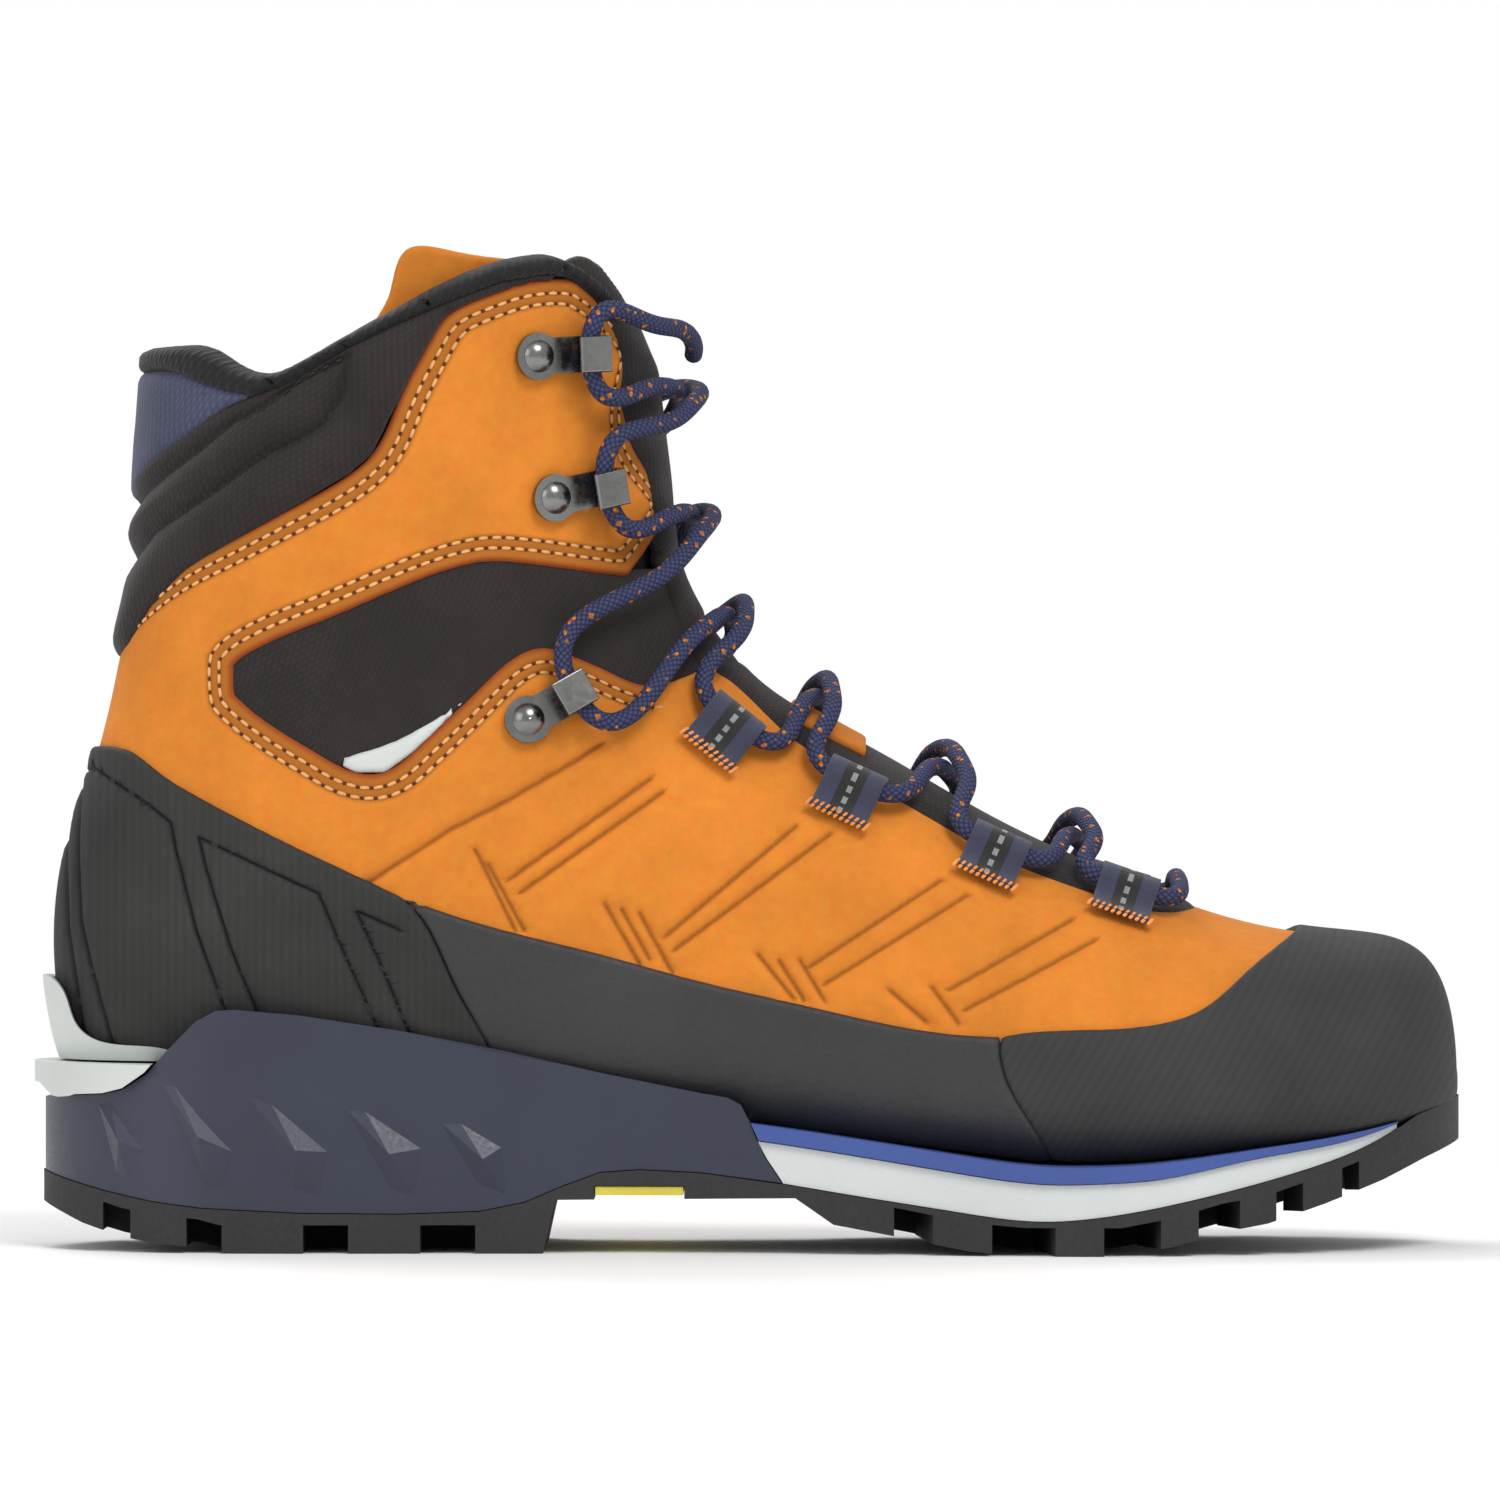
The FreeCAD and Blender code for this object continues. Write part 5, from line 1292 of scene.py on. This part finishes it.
def build_teeth():
    """Faceted ridges standing on both sides of the heel frame."""
    wall = tree_of("heel_frame")
    points, faces = [], []
    for look in (1.0, -1.0):
        def on_wall(x, z, height):
            hit = wall.ray_cast(Vector((x, -look * FAR, z)), Vector((0, look, 0)))[0]
            return Vector((x, hit.y - look * height, z))

        for tooth in TEETH:
            back_top, front_top, front_foot, back_foot, tip = [(x * MM, z * MM) for x, z in tooth]
            ridge = ((front_top[0] + front_foot[0]) / 2, (front_top[1] + front_foot[1]) / 2)
            ring = [back_top, back_foot, front_foot, tip, front_top]
            base = len(points)
            points += [on_wall(x, z, RIM_HEIGHT) for x, z in ring]
            points.append(on_wall(*ridge, TOOTH_HEIGHT))
            points += [on_wall(x, z, -TOOTH_SUNK) for x, z in ring]
            count = len(ring)
            rim = [base + k for k in range(count)]
            foot = [i + count + 1 for i in rim]
            made = [tuple(reversed(foot))]
            for k in range(count):
                m = (k + 1) % count
                made += [(rim[k], rim[m], base + count), (rim[m], rim[k], foot[k], foot[m])]
            faces += made if look > 0 else [tuple(reversed(f)) for f in made]
    teeth = new_mesh("heel_frame_teeth", points, faces, NAVY_PLASTIC, smooth=False)
    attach(teeth, "lower")


LINING_HEIGHTS = (-2.3 * MM, -4.8 * MM)


def build_lining():
    distance = np.where(GRID[:, 2] < 0, -DEEP, DEEP)
    rim_tree = tree_of("cuff_lining", "ankle_lining", "foot_lining")
    for i in range(len(GRID)):
        if GRID[i, 2] > RIM_LOW_Z - 20 * MM:
            inside = covered(rim_tree, GRID[i, CO], GRID[i, NO], 1 * MM, 7 * MM)
            distance[i] = 1.0 if inside else -1.0
    points, faces = cover_mesh(distance, stride=2)
    top, bottom = (np.full(len(points), height) for height in LINING_HEIGHTS)
    piece = sheet("inner_lining", points, faces, top, bottom, LINING)
    stand_in(piece, "black_lining", "cuff_lining", "ankle_lining", "foot_lining", "membrane_bootie")
    bend_with_ankle(piece)


# ---------------------------------------------------------------- the lace
LACE_RADIUS = 1.95 * MM
LACE_STEP = 0.9 * MM     # between rings of the lace
LACE_SIDES = 16


def surface_distance(start, reach):
    """Distance over a mesh's edges from one vertex to every other; reach lists (neighbour, length)."""
    found = {start: 0.0}
    waiting = [(0.0, start)]
    while waiting:
        here, i = heapq.heappop(waiting)
        if here > found[i]:
            continue
        for j, length in reach[i]:
            if here + length < found.get(j, math.inf):
                found[j] = here + length
                heapq.heappush(waiting, (here + length, j))
    return found


def lace_line():
    """The lace's centre line: the middles of the rings at each distance along the CAD lace."""
    data = frame["nodes"]["lace"].data
    same = merged(data)
    outward = {i: Vector() for i in same}
    for face in data.polygons:
        for i in face.vertices:
            outward[same[i]] += face.normal * face.area
    reach = {i: [] for i in same}
    for edge in data.edges:
        a, b = (same[i] for i in edge.vertices)
        length = (data.vertices[a].co - data.vertices[b].co).length
        reach[a].append((b, length))
        reach[b].append((a, length))
    start = max(surface_distance(same[0], reach).items(), key=lambda found: found[1])[0]
    far = surface_distance(start, reach)
    rings = {}
    for i, distance in far.items():
        middle = data.vertices[i].co - outward[i].normalized() * LACE_RADIUS
        rings.setdefault(int(distance / (2 * LACE_STEP)), []).append(middle)
    middles = np.array([sum(rings[k], Vector()) / len(rings[k]) for k in sorted(rings)[2:-2]])
    middles[1:-1] = 0.25 * middles[:-2] + 0.5 * middles[1:-1] + 0.25 * middles[2:]
    between = (9 * (middles[1:-2] + middles[2:-1]) - middles[:-3] - middles[3:]) / 16
    line = np.empty((2 * len(between) + 1, 3))
    line[0::2] = middles[1:-1]
    line[1::2] = between
    return line


def tube(name, line, radius, sides, material):
    """Round cord along a line, with closed ends; its UV is length and turns round it."""
    run = np.concatenate([[0.0], np.cumsum(np.linalg.norm(np.diff(line, axis=0), axis=1))])
    along = np.gradient(line, axis=0)
    along /= np.linalg.norm(along, axis=1, keepdims=True)
    across = np.array([0.0, 0.0, 1.0])
    points = []
    for middle, direction in zip(line, along):
        across = across - direction * across.dot(direction)
        across /= np.linalg.norm(across)
        other = np.cross(direction, across)
        for k in range(sides):
            turn = 2 * math.pi * k / sides
            points.append(middle + radius * (across * math.cos(turn) + other * math.sin(turn)))
    count = len(line)
    faces, uv = [], []
    for i in range(count - 1):
        for k in range(sides):
            m = (k + 1) % sides
            faces.append((i * sides + k, i * sides + m, (i + 1) * sides + m, (i + 1) * sides + k))
            uv += [(run[i], k / sides), (run[i], (k + 1) / sides),
                   (run[i + 1], (k + 1) / sides), (run[i + 1], k / sides)]
    for ring, order in ((0, -1), (count - 1, 1)):
        faces.append(tuple(ring * sides + k for k in range(sides))[::order])
        uv += [(run[ring], 0.0)] * sides
    cord = new_mesh(name, points, faces, material)
    layer = cord.data.uv_layers.new(name="UVMap")
    layer.data.foreach_set("uv", np.array(uv).ravel())
    return cord


def build_lace():
    cord = tube("lace_cord", lace_line(), LACE_RADIUS, LACE_SIDES, CORD)
    stand_in(cord, "cord", "lace")
    bend_with_ankle(cord)


# ---------------------------------------------------------------- the hard pieces
PAINT = {"outsole": SOLE_RUBBER, "arch_insert": YELLOW_RUBBER, "heel_frame": NAVY_PLASTIC,
         "heel_core": GREY_FOAM, "midsole": GREY_FOAM, "midsole_stripe": BLUE_FOAM,
         "heel_cup": GREY_PLASTIC, "crampon_ledge": GREY_PLASTIC, "shank": METAL, "cuff_hooks": METAL,
         "cuff_rivets": METAL, "ankle_hooks": METAL, "ankle_rivets": METAL, "heel_counter": INNER_FOAM,
         "toe_puff": INNER_FOAM, "lasting_board": INNER_FOAM, "footbed": INNER_FOAM}


def paint_frame():
    for name, material in PAINT.items():
        data = frame["nodes"][name].data
        data.materials.clear()
        data.materials.append(material)


# ---------------------------------------------------------------- studio
# name, place, size in metres, power in watts
LIGHTS = (("key", (0.7, -1.3, 1.7), 0.9, 24.0), ("fill", (-1.5, -1.4, 0.9), 1.4, 9.0),
          ("back", (-0.5, 1.2, 1.6), 1.0, 16.0))


def build_studio():
    """White seamless room: the floor and the backdrop are as bright as the world behind them."""
    side, near, far = 1.2, -1.6, 0.45
    floor = new_mesh("floor", [(-side, near, 0), (side, near, 0), (side, far, 0), (-side, far, 0)],
                     [(0, 1, 2, 3)], grained("floor_paint", (0.92, 0.92, 0.92), 0.9, spread=0.01))
    world = bpy.data.worlds.new("studio")
    world.use_nodes = True
    tree = world.node_tree
    background = tree.nodes["Background"]
    path = tree.nodes.new("ShaderNodeLightPath")
    strength = tree.nodes.new("ShaderNodeMapRange")
    strength.inputs["To Min"].default_value = 0.62      # for the light on the boot
    strength.inputs["To Max"].default_value = 1.0       # as seen by the camera
    tree.links.new(path.outputs["Is Camera Ray"], strength.inputs["Value"])
    tree.links.new(strength.outputs["Result"], background.inputs["Strength"])
    background.inputs["Color"].default_value = (1.0, 1.0, 1.0, 1.0)
    bpy.context.scene.world = world
    bpy.context.scene.view_settings.view_transform = "Standard"
    for name, place, size, power in LIGHTS:
        light = bpy.data.lights.new(name, "AREA")
        light.size = size
        light.energy = power
        lamp = bpy.data.objects.new(name, light)
        lamp.location = place
        lamp.rotation_euler = (Vector((0.08, 0, 0.1)) - Vector(place)).to_track_quat("-Z", "Y").to_euler()
        bpy.context.scene.collection.objects.link(lamp)


def build_camera():
    """The photograph's view: exactly from the outer side, with a long lens."""
    view_width = 315 * MM
    distance = 2.4
    lens = bpy.data.cameras.new("side")
    lens.sensor_width = 36.0
    lens.lens = lens.sensor_width * (distance - 0.04) / view_width
    camera = bpy.data.objects.new("side", lens)
    camera.location = (94.5 * MM, -distance, 105.8 * MM)
    camera.rotation_euler = (math.radians(90), 0, 0)
    bpy.context.scene.collection.objects.link(camera)
    bpy.context.scene.camera = camera


build_leather()
build_window()
build_accent()
build_collar_pad()
build_collar_back()
build_collar_binding()
build_rands()
build_tongue()
build_loops()
build_lace()
build_teeth()
build_lining()
paint_frame()
build_studio()
build_camera()
